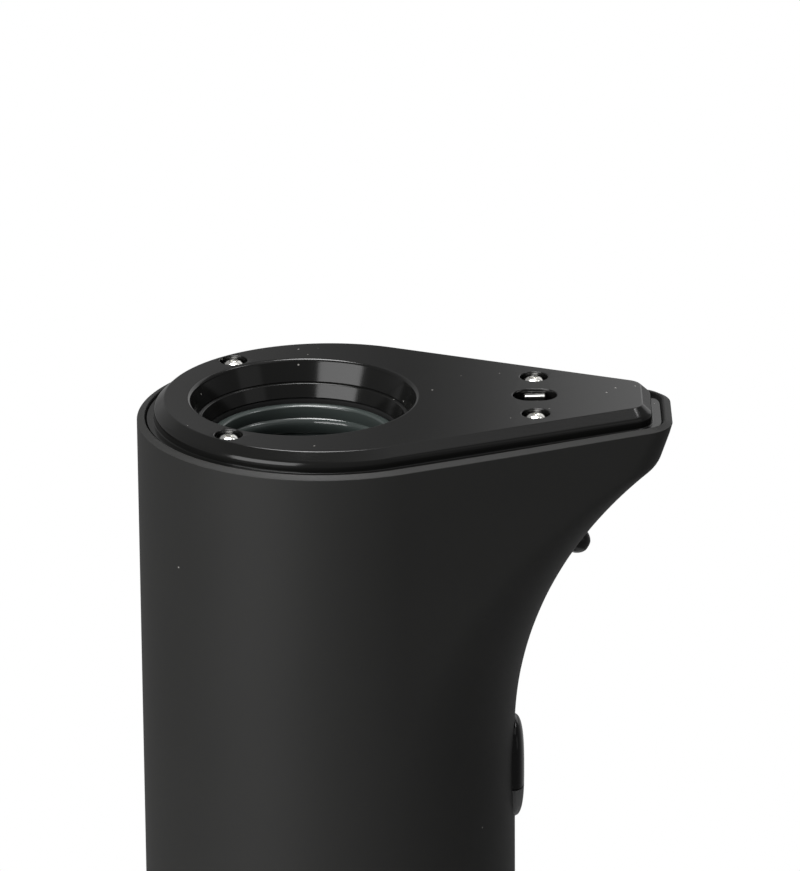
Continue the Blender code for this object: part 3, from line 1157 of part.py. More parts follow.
def make_panel(use):
    face = math.sqrt(BODY_RADIUS**2 - PANEL_HALF_WIDTH**2)
    swell = BODY_RADIUS + PANEL_PROUD - face
    rings = []
    rings.append([Vector((-up, across, -PANEL_DEPTH)) for across, up in panel_outline(0)])
    for share in PANEL_DOME_SHARES:
        height = swell * (1 - share**PANEL_DOME_POWER) ** (1 / PANEL_DOME_POWER)
        rings.append([Vector((-up, across, height)) for across, up in panel_outline(0, share)])
    dome = place(loft(rings), (face, 0, PANEL_Z), (1, 0, 0))
    split = PANEL_Z - PANEL_HALF_HEIGHT + 2 * PANEL_HALF_HEIGHT * BUTTON_SHARE
    wide = PANEL_HALF_WIDTH + OVERRUN
    tall = PANEL_HALF_HEIGHT + OVERRUN
    near = face - PANEL_DEPTH - OVERRUN
    far = face + swell + OVERRUN
    window = solid("sensor_window", dome, use["window"])
    below = block((near, -wide, PANEL_Z - tall), (far, wide, split + SEAM / 2))
    boolean(window, below, "DIFFERENCE", "button_side")
    button = solid("control_button", ([point.copy() for point in dome[0]], dome[1]), use["grey"])
    above = block((near, -wide, split - SEAM / 2), (far, wide, PANEL_Z + tall))
    boolean(button, above, "DIFFERENCE", "window_side")

    board_face = BOARD_X + BOARD_THICK
    board = solid(
        "circuit_board",
        block(
            (BOARD_X, -BOARD_HALF_WIDTH, PANEL_Z - BOARD_HALF_HEIGHT),
            (board_face, BOARD_HALF_WIDTH, PANEL_Z + BOARD_HALF_HEIGHT),
        ),
        use["board"],
    )
    holes = []
    for name, offset in (("board_screw_low", -BOARD_BOSS_OFFSET), ("board_screw_high", BOARD_BOSS_OFFSET)):
        hole = rod(PLATE_SCREW["shank"] + FIT, -OVERRUN, BOARD_THICK + OVERRUN, TINY_STEPS)
        holes.append(place(hole, (BOARD_X, 0, PANEL_Z + offset), (1, 0, 0)))
        screw(name, (BOARD_X - GAP, 0, PANEL_Z + offset), PLATE_SCREW, use["steel"], (-1, 0, 0))
    boolean(board, joined(*holes), "DIFFERENCE", "screw_holes")

    seat = board_face + GAP
    window_z = (split + PANEL_Z + PANEL_HALF_HEIGHT) / 2 - DIODE_DROP
    lens = DIODE_LENGTH - DIODE_RADIUS
    profile = [
        (0, 0),
        (DIODE_COLLAR_RADIUS, 0),
        (DIODE_COLLAR_RADIUS, DIODE_COLLAR_THICK),
        (DIODE_RADIUS, DIODE_COLLAR_THICK),
        *[(DIODE_RADIUS * math.cos(turn), lens + DIODE_RADIUS * math.sin(turn)) for turn in LENS_TURNS],
        (0, DIODE_LENGTH),
    ]
    for name, side in (("infrared_emitter", -1), ("infrared_receiver", 1)):
        spot = (seat, side * DIODE_OFFSET_Y, window_z)
        solid(name, place(turned(profile, TINY_STEPS), spot, (1, 0, 0)), use["diode"])
    deep, wide, tall = LIGHT_SIZE
    middle = window_z + LIGHT_OFFSET_Z
    light = block((seat, -wide / 2, middle - tall / 2), (seat + deep, wide / 2, middle + tall / 2))
    solid("status_light", light, use["light"])

    deep, wide, tall = SWITCH_SIZE
    middle = (PANEL_Z - PANEL_HALF_HEIGHT + split) / 2
    body = block((seat, -wide / 2, middle - tall / 2), (seat + deep, wide / 2, middle + tall / 2))
    switch = solid("button_switch", body, use["grey"])
    tip = face - PANEL_DEPTH - BUTTON_TRAVEL - FIT
    plunger = rod(PLUNGER_RADIUS, -EMBED, tip - seat - deep, TINY_STEPS)
    boolean(switch, place(plunger, (seat + deep, 0, middle), (1, 0, 0)), "UNION", "plunger")


def lead(name, points, made_of):
    """A wire: a curve through its route's points, with filled ends."""
    curve = bpy.data.curves.new(name, "CURVE")
    curve.dimensions = "3D"
    curve.bevel_depth = LEAD_RADIUS
    curve.bevel_resolution = 2
    curve.use_fill_caps = True
    route = smooth_route([Vector(point) for point in points])
    spline = curve.splines.new("POLY")
    spline.points.add(len(route) - 1)
    for target, point in zip(spline.points, route):
        target.co = (*point, 1)
    curve.materials.append(made_of)
    bpy.context.scene.collection.objects.link(bpy.data.objects.new(name, curve))


def make_leads(use):
    board_foot = PANEL_Z - BOARD_HALF_HEIGHT - GAP
    board_middle = BOARD_X + BOARD_THICK / 2
    side = CELL_PITCH / 2 + CELL_RADIUS + CELL_PLAY + BOX_WALL + GAP + LEAD_RADIUS
    hole_x, hole_y = LEAD_HOLE
    battery = []
    for (forward, across), drop in zip(BOX_LEAD_SHARES, BOX_LEAD_DROPS):
        battery.append((side + (hole_x - side) * forward, hole_y * across, BOX_TOP - drop))
    for share, rise in zip(LEAD_RISE_SHARES, LEAD_RISES):
        battery.append((hole_x, hole_y * share, CHASSIS_TOP + rise))
    for share, tail in zip(BOARD_LEAD_SHARES, (LEAD_TAIL, 0)):
        battery.append((board_middle, hole_y * share, board_foot - tail))
    lead("battery_lead", battery, use["copper"])
    motor_side = MOTOR_RADIUS + GAP + LEAD_RADIUS
    wheel_tip = DRIVE_MODULE * (WHEEL_TEETH / 2 + ADDENDUM_SHARE)
    motor = [(MOTOR_X + x, motor_side + y, MOTOR_TOP + z) for x, y, z in MOTOR_LEAD_STEPS]
    motor += [(PUMP_X + x, wheel_tip + y, MOTOR_TOP + z) for x, y, z in WHEEL_LEAD_STEPS]
    for share, tail in zip(MOTOR_TAIL_SHARES, (LEAD_TAIL, 0)):
        motor.append((board_middle, wheel_tip * share, board_foot - tail))
    lead("motor_lead", motor, use["copper"])


clear_scene()
use = make_materials()
make_shell(use)
make_deck(use)
make_tank(use)
make_chassis(use)
make_pump(use)
make_drive(use)
make_battery_box(use)
make_base(use)
make_nozzle(use)
make_hoses(use)
make_panel(use)
make_leads(use)
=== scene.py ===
"""Automatic soap dispenser without its lift-off top cover: the looks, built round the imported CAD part."""

import json
import math

import bmesh
import bpy
from mathutils import Matrix, Vector
from mathutils.geometry import delaunay_2d_cdt

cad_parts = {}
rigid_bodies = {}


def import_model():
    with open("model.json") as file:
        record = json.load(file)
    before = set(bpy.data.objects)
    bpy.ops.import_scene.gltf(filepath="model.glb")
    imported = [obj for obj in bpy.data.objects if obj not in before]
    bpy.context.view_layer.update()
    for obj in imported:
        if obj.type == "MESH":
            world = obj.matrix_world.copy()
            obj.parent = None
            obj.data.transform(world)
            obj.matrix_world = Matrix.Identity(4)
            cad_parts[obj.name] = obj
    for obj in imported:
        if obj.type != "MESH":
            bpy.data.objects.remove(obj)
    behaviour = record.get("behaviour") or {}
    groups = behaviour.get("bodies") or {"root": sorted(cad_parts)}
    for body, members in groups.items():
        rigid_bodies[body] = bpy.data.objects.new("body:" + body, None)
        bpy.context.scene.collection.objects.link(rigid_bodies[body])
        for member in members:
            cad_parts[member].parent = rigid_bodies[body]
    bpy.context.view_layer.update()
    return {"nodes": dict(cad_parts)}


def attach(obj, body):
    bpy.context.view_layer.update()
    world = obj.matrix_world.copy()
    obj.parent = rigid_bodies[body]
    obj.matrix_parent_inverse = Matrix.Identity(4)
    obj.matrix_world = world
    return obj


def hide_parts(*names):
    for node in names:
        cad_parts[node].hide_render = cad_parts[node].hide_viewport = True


for old in list(bpy.data.objects):
    bpy.data.objects.remove(old)
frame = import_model()
nodes = frame["nodes"]

# Camera: the photograph looks down on the deck from the right-hand side of the beak, from well away.
# The point on the body's axis at rim height lands left of the frame's middle, so the camera aims beside it.
RIM_HEIGHT = 0.190
IMAGE_WIDTH = 800
FOCAL_PIXELS = 7044
CAMERA_DISTANCE = 1.40
CAMERA_TURN = math.radians(0.785)
CAMERA_RISE = math.radians(19.75)
CAMERA_ROLL = math.radians(-0.66)
AIM_PIXELS = (74.5, 20.2)


def linked(name, data):
    """A new object of this data, linked to the scene."""
    made = bpy.data.objects.new(name, data)
    bpy.context.scene.collection.objects.link(made)
    return made


back = Vector(
    (
        math.sin(CAMERA_TURN) * math.cos(CAMERA_RISE),
        -math.cos(CAMERA_TURN) * math.cos(CAMERA_RISE),
        math.sin(CAMERA_RISE),
    )
)
level = Vector((math.cos(CAMERA_TURN), math.sin(CAMERA_TURN), 0))
upward = back.cross(level)
camera_right = level * math.cos(CAMERA_ROLL) + upward * math.sin(CAMERA_ROLL)
camera_up = upward * math.cos(CAMERA_ROLL) - level * math.sin(CAMERA_ROLL)
axis_at_rim = Vector((0, 0, RIM_HEIGHT))
place = axis_at_rim + back * CAMERA_DISTANCE
metres_per_pixel = CAMERA_DISTANCE / FOCAL_PIXELS
shift = camera_right * AIM_PIXELS[0] - camera_up * AIM_PIXELS[1]
aim = axis_at_rim + shift * metres_per_pixel
view_back = (place - aim).normalized()
view_right = (camera_right - view_back * camera_right.dot(view_back)).normalized()
view_up = view_back.cross(view_right)

camera = linked("camera", bpy.data.cameras.new("camera"))
camera.data.sensor_fit = "HORIZONTAL"
camera.data.lens = FOCAL_PIXELS / IMAGE_WIDTH * camera.data.sensor_width
facing = Matrix((view_right, view_up, view_back)).transposed().to_4x4()
camera.matrix_world = Matrix.Translation(place) @ facing
bpy.context.scene.camera = camera


# Outer shell: one moulding in satin black ABS, a round body drawn out at the top into a pointed beak.
# Flat flanks run off the round at a tangent, the blunt front leans back, and an arc carries the beak's
# underside into the body. The rim is a thin lip round the deck whose top slopes outwards.
BODY_RADIUS = 0.0375
BEAK_REACH = 0.0688
WALL = 0.0016
FLANK_TURN = math.radians(66.3)
BEAK_CORNER = 0.0074
ARC_DEPTH = 0.0674
ARC_RADIUS = 0.0760
LIP_RADIUS = 0.0062
FRONT_DRAFT = math.radians(19.0)
RIM_EDGE = 0.00035
RIM_CORNER = 0.00015
RIM_SLOPE = 0.00065
RIM_LIFT = 0.0003
RIM_LIFT_FROM = 0.026
SHELL_BOTTOM = 0.0043
SHELL_LEDGE = (0.0305, 0.0652, 0.0040)
SHELL_FLANGE = (0.0316, 0.0070)
PANEL_Z = RIM_HEIGHT - 0.0753
PANEL_HALF_WIDTH = 0.0066
PANEL_HALF_HEIGHT = 0.0107
PANEL_POWER = 2 / 2.4
PANEL_GAP = 0.0003
PANEL_CUT = (0.030, 0.042)
NOZZLE_TURN = math.radians(32.6)
NOZZLE_RADIUS = 0.0028
NOZZLE_CUT = 0.008
NOZZLE_AXIS = Vector((math.cos(NOZZLE_TURN), 0, -math.sin(NOZZLE_TURN)))
ARC_CENTRE = Vector((BODY_RADIUS + ARC_RADIUS, 0, RIM_HEIGHT - ARC_DEPTH))
NOZZLE_SEAT = ARC_CENTRE - NOZZLE_AXIS * ARC_RADIUS
SATIN_BLACK = (0.0190, 0.0190, 0.0184)
DUST_GREY = (0.35, 0.34, 0.32, 1)
GLOSS_DRIFT = 0.1
CORNER_STEPS = 20
FLANK_STEPS = 10
BACK_STEPS = 64
FRONT_STEPS = 4
LIP_STEPS = 12
ARC_STEPS = 40
COLUMN_STEPS = 24
EDGE_STEPS = 3
SHARP_FROM = 32.0
MERGE_WITHIN = 1e-7


def shares(steps):
    """Even shares of a run, from 0 to 1."""
    return [k / steps for k in range(steps + 1)]


def heading(angle):
    return Vector((math.cos(angle), math.sin(angle)))


def eased(share):
    """A share that starts and ends its climb gently."""
    return share * share * (3 - 2 * share)


def quarter(steps=4):
    """(share across, share down) along a quarter round, from a flat top over its edge."""
    turns = [heading(math.pi / 2 * share) for share in shares(steps)]
    return [(1 - turned.y, 1 - turned.x) for turned in turns]


def outline(radius, front, height, full=(BEAK_REACH, BEAK_CORNER)):
    """One level line of the body: a round back, two flat flanks and a blunt rounded front."""
    full_front, full_corner = full
    across, along = math.cos(FLANK_TURN), math.sin(FLANK_TURN)
    full_flat = (radius - full_corner - (full_front - full_corner) * across) / along
    flat = full_flat * max(front - radius, 0) / (full_front - radius)
    corner = (radius - front * across - flat * along) / (1 - across)
    half = [(front, 0), (front, flat / 2)]
    for share in shares(CORNER_STEPS):
        out = heading(FLANK_TURN * share)
        half.append((front - corner + corner * out.x, flat + corner * out.y))
    start, end = Vector(half[-1]), Vector((radius * across, radius * along))
    half += [start.lerp(end, share)[:] for share in shares(FLANK_STEPS)[1:-1]]
    for share in shares(BACK_STEPS)[:-1]:
        half.append((heading(FLANK_TURN + (math.pi - FLANK_TURN) * share) * radius)[:])
    points = [*half, (-radius, 0), *[(x, -y) for x, y in reversed(half[1:])]]
    return [Vector((x, y, height)) for x, y in points]


def strips(mesh, rows, loop=True, capped=False):
    """Rows of as many vertices each, joined by quads. Capped, the first and last rows are filled."""
    for low, high in zip(rows, rows[1:] + rows[:1] if loop else rows[1:]):
        count = len(low)
        for k in range(count):
            mesh.faces.new((low[k], low[(k + 1) % count], high[(k + 1) % count], high[k]))
    for row in (rows[0], rows[-1]) if capped else ():
        mesh.faces.new(row)


def mesh_data(name, mesh):
    """A bmesh as mesh data."""
    data = bpy.data.meshes.new(name)
    mesh.to_mesh(data)
    mesh.free()
    return data


def smoothed(data, limit=SHARP_FROM):
    """Smooth where it is round, sharp where two faces meet at more than the limit in degrees."""
    data.shade_smooth()
    data.set_sharp_from_angle(angle=math.radians(limit))


def shown(name, mesh, material, limit=SHARP_FROM):
    """A bmesh as a shown object, its doubles merged and its faces pointing out."""
    bmesh.ops.remove_doubles(mesh, verts=mesh.verts, dist=MERGE_WITHIN)
    bmesh.ops.recalc_face_normals(mesh, faces=mesh.faces)
    data = mesh_data(name, mesh)
    smoothed(data, limit)
    data.materials.append(material)
    return linked(name, data)


def applied(made):
    """The object with its modifiers worked into its mesh."""
    graph = bpy.context.evaluated_depsgraph_get()
    data = bpy.data.meshes.new_from_object(made.evaluated_get(graph))
    made.modifiers.clear()
    made.data = data
    return made


def fitted(piece, slot, body, *replaced):
    """The piece stands for these CAD nodes and moves with this body."""
    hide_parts(*replaced)
    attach(piece, body)


def feed(tree, made, links):
    """A node's inputs, joined or set by name or place."""
    for label, source in links.items():
        if isinstance(source, bpy.types.NodeSocket):
            tree.links.new(source, made.inputs[label])
        else:
            made.inputs[label].default_value = source
    return made


def node(tree, kind, links=None, **settings):
    """A node with its settings, then its inputs."""
    made = tree.nodes.new(kind)
    for label, value in settings.items():
        setattr(made, label, value)
    return feed(tree, made, links or {})


def sum_of(tree, kind, first, second=None):
    """One step of arithmetic."""
    links = {0: first} if second is None else {0: first, 1: second}
    return node(tree, "ShaderNodeMath", links, operation=kind).outputs["Value"]


def ranged(tree, value, start=(0.0, 1.0), end=(0.0, 1.0), **settings):
    """A value carried from one range to another and held at its ends."""
    links = {"Value": value, "From Min": start[0], "From Max": start[1], "To Min": end[0], "To Max": end[1]}
    return node(tree, "ShaderNodeMapRange", links, **settings).outputs["Result"]


def blend(tree, share, first, second):
    """One colour over another."""
    links = {"Factor": share, "A": first, "B": second}
    return node(tree, "ShaderNodeMix", links, data_type="RGBA").outputs["Result"]


def own_spot(tree):
    """The place on the piece, in its own coordinates."""
    return node(tree, "ShaderNodeTexCoord").outputs["Object"]


def bump(tree, height, distance):
    return node(tree, "ShaderNodeBump", {"Height": height, "Distance": distance}).outputs["Normal"]


def group(name, inputs, outputs):
    """A shader node group: its tree, its number inputs and its value outputs by name."""
    tree = bpy.data.node_groups.new(name, "ShaderNodeTree")
    for label, value in inputs.items():
        socket = tree.interface.new_socket(label, in_out="INPUT", socket_type="NodeSocketFloat")
        socket.default_value = value
    for label in outputs:
        tree.interface.new_socket(label, in_out="OUTPUT", socket_type="NodeSocketFloat")
    return tree, tree.nodes.new("NodeGroupInput").outputs, tree.nodes.new("NodeGroupOutput")


grain, sizes, results = group("moulded_grain", {"Grain Size": 2500.0, "Flow Size": 35.0}, ("Height", "Flow"))
spot = own_spot(grain)
for label, size, detail in (("Height", "Grain Size", 3.0), ("Flow", "Flow Size", 2.0)):
    drift = node(grain, "ShaderNodeTexNoise", {"Vector": spot, "Scale": sizes[size], "Detail": detail})
    feed(grain, results, {label: drift.outputs["Fac"]})

dust, sizes, results = group("dust_specks", {"Speck Size": 520.0, "Speck Share": 0.12}, ("Mask",))
cells = node(dust, "ShaderNodeTexVoronoi", {"Vector": own_spot(dust), "Scale": sizes["Speck Size"]}).outputs
near = ranged(dust, cells["Distance"], (0.05, 0.12), (1.0, 0.0))
pick = node(dust, "ShaderNodeSeparateColor", {"Color": cells["Color"]}).outputs["Red"]
rare = sum_of(dust, "LESS_THAN", pick, sizes["Speck Share"])
feed(dust, results, {"Mask": sum_of(dust, "MULTIPLY", near, rare)})


def new_finish(name):
    """A material, its node tree and its Principled BSDF."""
    made = bpy.data.materials.new(name)
    made.use_nodes = True
    return made, made.node_tree, made.node_tree.nodes["Principled BSDF"]


def plastic(name, colour, roughness, grain_size, grain_height, specks=0.0, specular=0.5, mottle=0.08):
    """A moulded plastic or rubber: its colour and gloss drift a little, with fine grain and stray dust."""
    made, tree, shader = new_finish(name)
    skin = node(tree, "ShaderNodeGroup", node_tree=grain)
    feed(tree, skin, {"Grain Size": grain_size})
    stray = node(tree, "ShaderNodeGroup", node_tree=dust)
    feed(tree, stray, {"Speck Share": specks})
    flow = skin.outputs["Flow"]
    darker, lighter = [(*[channel * level for channel in colour], 1) for level in (1 - mottle, 1 + mottle)]
    looks = {
        "Specular IOR Level": specular,
        "Base Color": blend(tree, stray.outputs["Mask"], blend(tree, flow, darker, lighter), DUST_GREY),
        "Roughness": ranged(tree, flow, end=(roughness * (1 - GLOSS_DRIFT), roughness * (1 + GLOSS_DRIFT))),
        "Normal": bump(tree, skin.outputs["Height"], grain_height),
    }
    feed(tree, shader, looks)
    return made


under = []
down = Vector((-math.sin(FRONT_DRAFT), -math.cos(FRONT_DRAFT)))
inward = Vector((-math.cos(FRONT_DRAFT), math.sin(FRONT_DRAFT)))
rim = Vector((BEAK_REACH, RIM_HEIGHT))
arc_middle = Vector((ARC_CENTRE.x, ARC_CENTRE.z))
start = rim + inward * LIP_RADIUS - arc_middle
slope = start.dot(down)
run = -slope - math.sqrt(slope**2 - start.length_squared + (ARC_RADIUS + LIP_RADIUS) ** 2)
lip = rim + inward * LIP_RADIUS + down * run
towards = (arc_middle - lip).normalized()
turn, end = math.atan2(-inward.y, -inward.x), math.atan2(towards.y, towards.x)
under.append((rim + down * 2 * RIM_CORNER, -inward))
for share in shares(FRONT_STEPS)[1:-1]:
    under.append((rim + down * run * share, -inward))
for share in shares(LIP_STEPS):
    out = heading(turn + (end - turn) * share)
    under.append((lip + out * LIP_RADIUS, out))
for share in shares(ARC_STEPS)[1:]:
    out = heading(end * (1 - share))
    under.append((arc_middle - out * ARC_RADIUS, out))


def rim_rise(point):
    """The rim climbs a little towards the tip of the beak."""
    share = min(max((point.x - RIM_LIFT_FROM) / (BEAK_REACH - RIM_LIFT_FROM), 0), 1)
    return RIM_LIFT * eased(share) if point.z > RIM_HEIGHT - 2 * RIM_EDGE else 0


draft = math.tan(FRONT_DRAFT)
outer = []
for across, drop in quarter():
    front = BEAK_REACH - RIM_CORNER * (across + drop * draft)
    edge = (front, BEAK_CORNER - RIM_CORNER * across)
    outer.append(outline(BODY_RADIUS - RIM_CORNER * across, front, RIM_HEIGHT - RIM_CORNER * drop, edge))
for point, _ in under:
    outer.append(outline(BODY_RADIUS, point.x, point.y))
bottom_edge = SHELL_BOTTOM + RIM_EDGE
column_top = under[-1][0].y
for share in shares(COLUMN_STEPS)[1:]:
    outer.append(outline(BODY_RADIUS, BODY_RADIUS, column_top + (bottom_edge - column_top) * share))
for across, drop in quarter(EDGE_STEPS)[1:]:
    reach = BODY_RADIUS - RIM_EDGE * drop
    outer.append(outline(reach, reach, SHELL_BOTTOM + RIM_EDGE * across))
shell_inner = BODY_RADIUS - WALL
nose = (BEAK_REACH - WALL / math.cos(FRONT_DRAFT), BEAK_CORNER - WALL)
inner = []
for across, drop in quarter(EDGE_STEPS):
    front = nose[0] + RIM_EDGE * (across - drop * draft)
    edge = (front, nose[1] + RIM_EDGE * across)
    height = RIM_HEIGHT + RIM_SLOPE - RIM_EDGE * drop
    inner.append(outline(shell_inner + RIM_EDGE * across, front, height, edge))
for point, out in under[2:]:
    inner.append(outline(shell_inner, point.x - out.x * WALL, point.y - out.y * WALL, nose))
ledge_inner, ledge_top, ledge_depth = SHELL_LEDGE
flange_inner, flange_top = SHELL_FLANGE
for radius, height in (
    (shell_inner, ledge_top),
    (ledge_inner, ledge_top),
    (ledge_inner, ledge_top - ledge_depth),
    (shell_inner, ledge_top - ledge_depth - (shell_inner - ledge_inner)),
    (shell_inner, flange_top),
    (flange_inner, flange_top),
    (flange_inner, SHELL_BOTTOM),
):
    inner.append(outline(radius, radius, height))
shell = bmesh.new()
rings = []
for ring in [*outer, *inner[::-1]]:
    rings.append([shell.verts.new(point + Vector((0, 0, rim_rise(point)))) for point in ring])
strips(shell, rings)
satin_black = plastic(
    "satin_black_abs",
    SATIN_BLACK,
    roughness=0.50,
    grain_size=5200.0,
    grain_height=0.00001,
    specks=0.003,
    specular=0.13,
)
outer_shell = shown("body_moulding", shell, satin_black)


def panel_line(margin, share=1.0, steps=72):
    """The front panel's oval: (up, across) at each step."""
    line = []
    for turned in shares(steps)[:-1]:
        out = heading(2 * math.pi * turned)
        across, up = [math.copysign(abs(side) ** PANEL_POWER, side) for side in out]
        line.append(((PANEL_HALF_HEIGHT + margin) * up * share, (PANEL_HALF_WIDTH + margin) * across * share))
    return line


aperture = bmesh.new()
ends = []
for x in PANEL_CUT:
    ends.append([aperture.verts.new((x, across, PANEL_Z + up)) for up, across in panel_line(PANEL_GAP)])
strips(aperture, ends, loop=False, capped=True)
nozzle_hole = bmesh.new()
to_nozzle = Vector((0, 0, 1)).rotation_difference(NOZZLE_AXIS).to_matrix().to_4x4()
to_nozzle = Matrix.Translation(NOZZLE_SEAT) @ to_nozzle
bmesh.ops.create_cone(
    nozzle_hole,
    cap_ends=True,
    segments=64,
    radius1=NOZZLE_RADIUS + PANEL_GAP,
    radius2=NOZZLE_RADIUS + PANEL_GAP,
    depth=NOZZLE_CUT,
    matrix=to_nozzle,
)
cutters = []
for name, hole in (("panel_aperture", aperture), ("nozzle_hole", nozzle_hole)):
    bmesh.ops.recalc_face_normals(hole, faces=hole.faces)
    cutters.append(linked(name, mesh_data(name, hole)))
    step = outer_shell.modifiers.new(name, "BOOLEAN")
    step.operation = "DIFFERENCE"
    step.solver = "EXACT"
    step.object = cutters[-1]
applied(outer_shell)
for tool in cutters:
    bpy.data.objects.remove(tool)
outer_shell.data.set_sharp_from_angle(angle=math.radians(SHARP_FROM))
fitted(outer_shell, "satin_black_abs", "housing", "outer_shell")


# Deck: one gloss black moulding that closes the top. A low ledge runs round it inside the rim, then a short
# wall and a chamfer up to the flat top. The round fill well, four screw seats and the catch's
# pocket are moulded into it. Every lip is slightly rounded, so it draws a thin bright line.
DECK_TOP = RIM_HEIGHT + 0.00405
DECK_PLATE = 0.0018
DECK_EDGE = (0.0019, 0.0667)
DECK_WALL = (0.0034, 0.0648)
DECK_FLAT = 0.0054
DECK_CORNER = 0.0034
DECK_LEDGE_RISE = 0.0002
DECK_SKIRT_DROP = 0.0024
DECK_SHOULDER_DROP = 0.00185
DECK_LIP = 0.00022
SHOULDER_EDGES = (0.0006, 0.00018)
SHOULDER_STEPS = 6
WELL_LIP = 0.0008
WELL_LIP_STEPS = 7
WELL_X = -0.0044
WELL_TOP_RADIUS = 0.0223
WELL_STEP = (0.0209, RIM_HEIGHT - 0.0004)
WELL_LEDGE_RADIUS = 0.0202
WELL_FOOT = (0.0192, RIM_HEIGHT - 0.0030)
DECK_SCREWS = [(-0.0187, -0.0220), (-0.0187, 0.0220), (0.0416, -0.0109), (0.0416, 0.0109)]
SEAT_RADIUS = 0.0028
SEAT_DEPTH = 0.0019
SEAT_BORE = 0.0013
SEAT_WALL = 0.0005
BOSS_FOOT = RIM_HEIGHT - 0.0008
POCKET_X = 0.0416
POCKET_SIZE = (0.0088, 0.0068)
POCKET_DEPTH = 0.0036
POCKET_WALL = 0.0012
GLOSS_BLACK = (0.0065, 0.0065, 0.0062)
LEVEL_WITHIN = 1e-9


def deck_line(inset, front, height):
    corner = max(DECK_CORNER + DECK_FLAT - inset, DECK_CORNER)
    return outline(BODY_RADIUS - inset, front, height, (front, corner))


def round_line(centre, radius, height, steps=96):
    line = []
    for share in shares(steps)[:-1]:
        out = heading(2 * math.pi * share)
        line.append(Vector((centre[0] + radius * out.x, centre[1] + radius * out.y, height)))
    return line


def pocket_line(margin, height, steps=24):
    """A long hole's outline round the pocket: straight sides and round ends."""
    reach = POCKET_SIZE[1] / 2 + margin
    run = (POCKET_SIZE[0] - POCKET_SIZE[1]) / 2
    line = []
    for side in (1, -1):
        for share in shares(steps):
            out = heading(math.pi * (share - 0.5 * side)) * reach
            line.append(Vector((POCKET_X + side * run + out.x, out.y, height)))
    return line


def inside(point, loop):
    hits = False
    for (ax, ay), (bx, by) in zip(loop, loop[1:] + loop[:1]):
        if (ay > point.y) != (by > point.y) and point.x < (bx - ax) * (point.y - ay) / (by - ay) + ax:
            hits = not hits
    return hits


def fill_level(mesh, loops):
    """A flat face inside the first loop and outside the others."""
    flat = [vertex for loop in loops for vertex in loop]
    edges = []
    faces = []
    first = 0
    for number, loop in enumerate(loops):
        ids = list(range(first, first + len(loop)))
        edges += [(ids[k], ids[(k + 1) % len(ids)]) for k in range(len(ids))]
        faces.append(ids if number == 0 else ids[::-1])
        first += len(loop)
    points = [Vector((vertex.co.x, vertex.co.y)) for vertex in flat]
    _, _, triangles, *_ = delaunay_2d_cdt(points, edges, faces, 1, LEVEL_WITHIN)
    for triangle in triangles:
        middle = sum((points[k] for k in triangle), Vector((0, 0))) / 3
        if all(not inside(middle, [(v.co.x, v.co.y) for v in loop]) for loop in loops[1:]):
            mesh.faces.new([flat[k] for k in triangle])


def bend(first, corner, last, steps):
    """A corner rounded off between two points on its sides."""
    return [first.lerp(corner, share).lerp(corner.lerp(last, share), share) for share in shares(steps)]


deck = bmesh.new()
under_plate = DECK_TOP - DECK_PLATE
plate_inset = DECK_WALL[0] + DECK_PLATE
plate_front = DECK_WALL[1] - DECK_PLATE
skirt_foot = RIM_HEIGHT - DECK_SKIRT_DROP
levels = [
    (plate_inset, plate_front, under_plate),
    (plate_inset, plate_front, skirt_foot),
    (DECK_EDGE[0], DECK_EDGE[1] - DECK_SKIRT_DROP * draft, skirt_foot),
]
ledge = RIM_HEIGHT + DECK_LEDGE_RISE
for (inset, front), turns, side in ((DECK_EDGE, quarter()[::-1], 1), (DECK_WALL, quarter(), -1)):
    for across, drop in turns:
        out = side * DECK_LIP * across
        levels.append((inset + out, front - out, ledge - side * DECK_LIP * drop))
chamfer_foot = Vector((DECK_WALL[0], DECK_TOP - DECK_SHOULDER_DROP))
chamfer_head = Vector((DECK_FLAT, DECK_TOP))
slant = (chamfer_head - chamfer_foot).normalized()
foot_edge, head_edge = SHOULDER_EDGES
for first, corner, last in (
    (chamfer_foot - Vector((0, foot_edge)), chamfer_foot, chamfer_foot + slant * foot_edge),
    (chamfer_head - slant * head_edge, chamfer_head, chamfer_head + Vector((head_edge, 0))),
):
    for inset, height in bend(first, corner, last, SHOULDER_STEPS):
        levels.append((inset, DECK_WALL[1] - (inset - DECK_WALL[0]), height))
rows = [[deck.verts.new(point) for point in deck_line(*level)] for level in levels]
strips(deck, rows, loop=False)
floor_loops, top_loops = [rows[0]], [rows[-1]]


def sunk(profile, centre=None, steps=96):
    """A hole's walls from the flat top down, in rows of (radius or margin, height), and its last row."""
    rows = []
    for size, height in profile:
        line = round_line(centre, size, height, steps) if centre else pocket_line(size, height)
        rows.append([deck.verts.new(point) for point in line])
    strips(deck, rows, loop=False)
    top_loops.append(rows[0])
    return rows[-1]


def hole_lip(size, height, edge=DECK_LIP, steps=4):
    """A hole's rounded lip, from the flat round it down into it."""
    return [(size + edge * across, height - edge * drop) for across, drop in quarter(steps)]


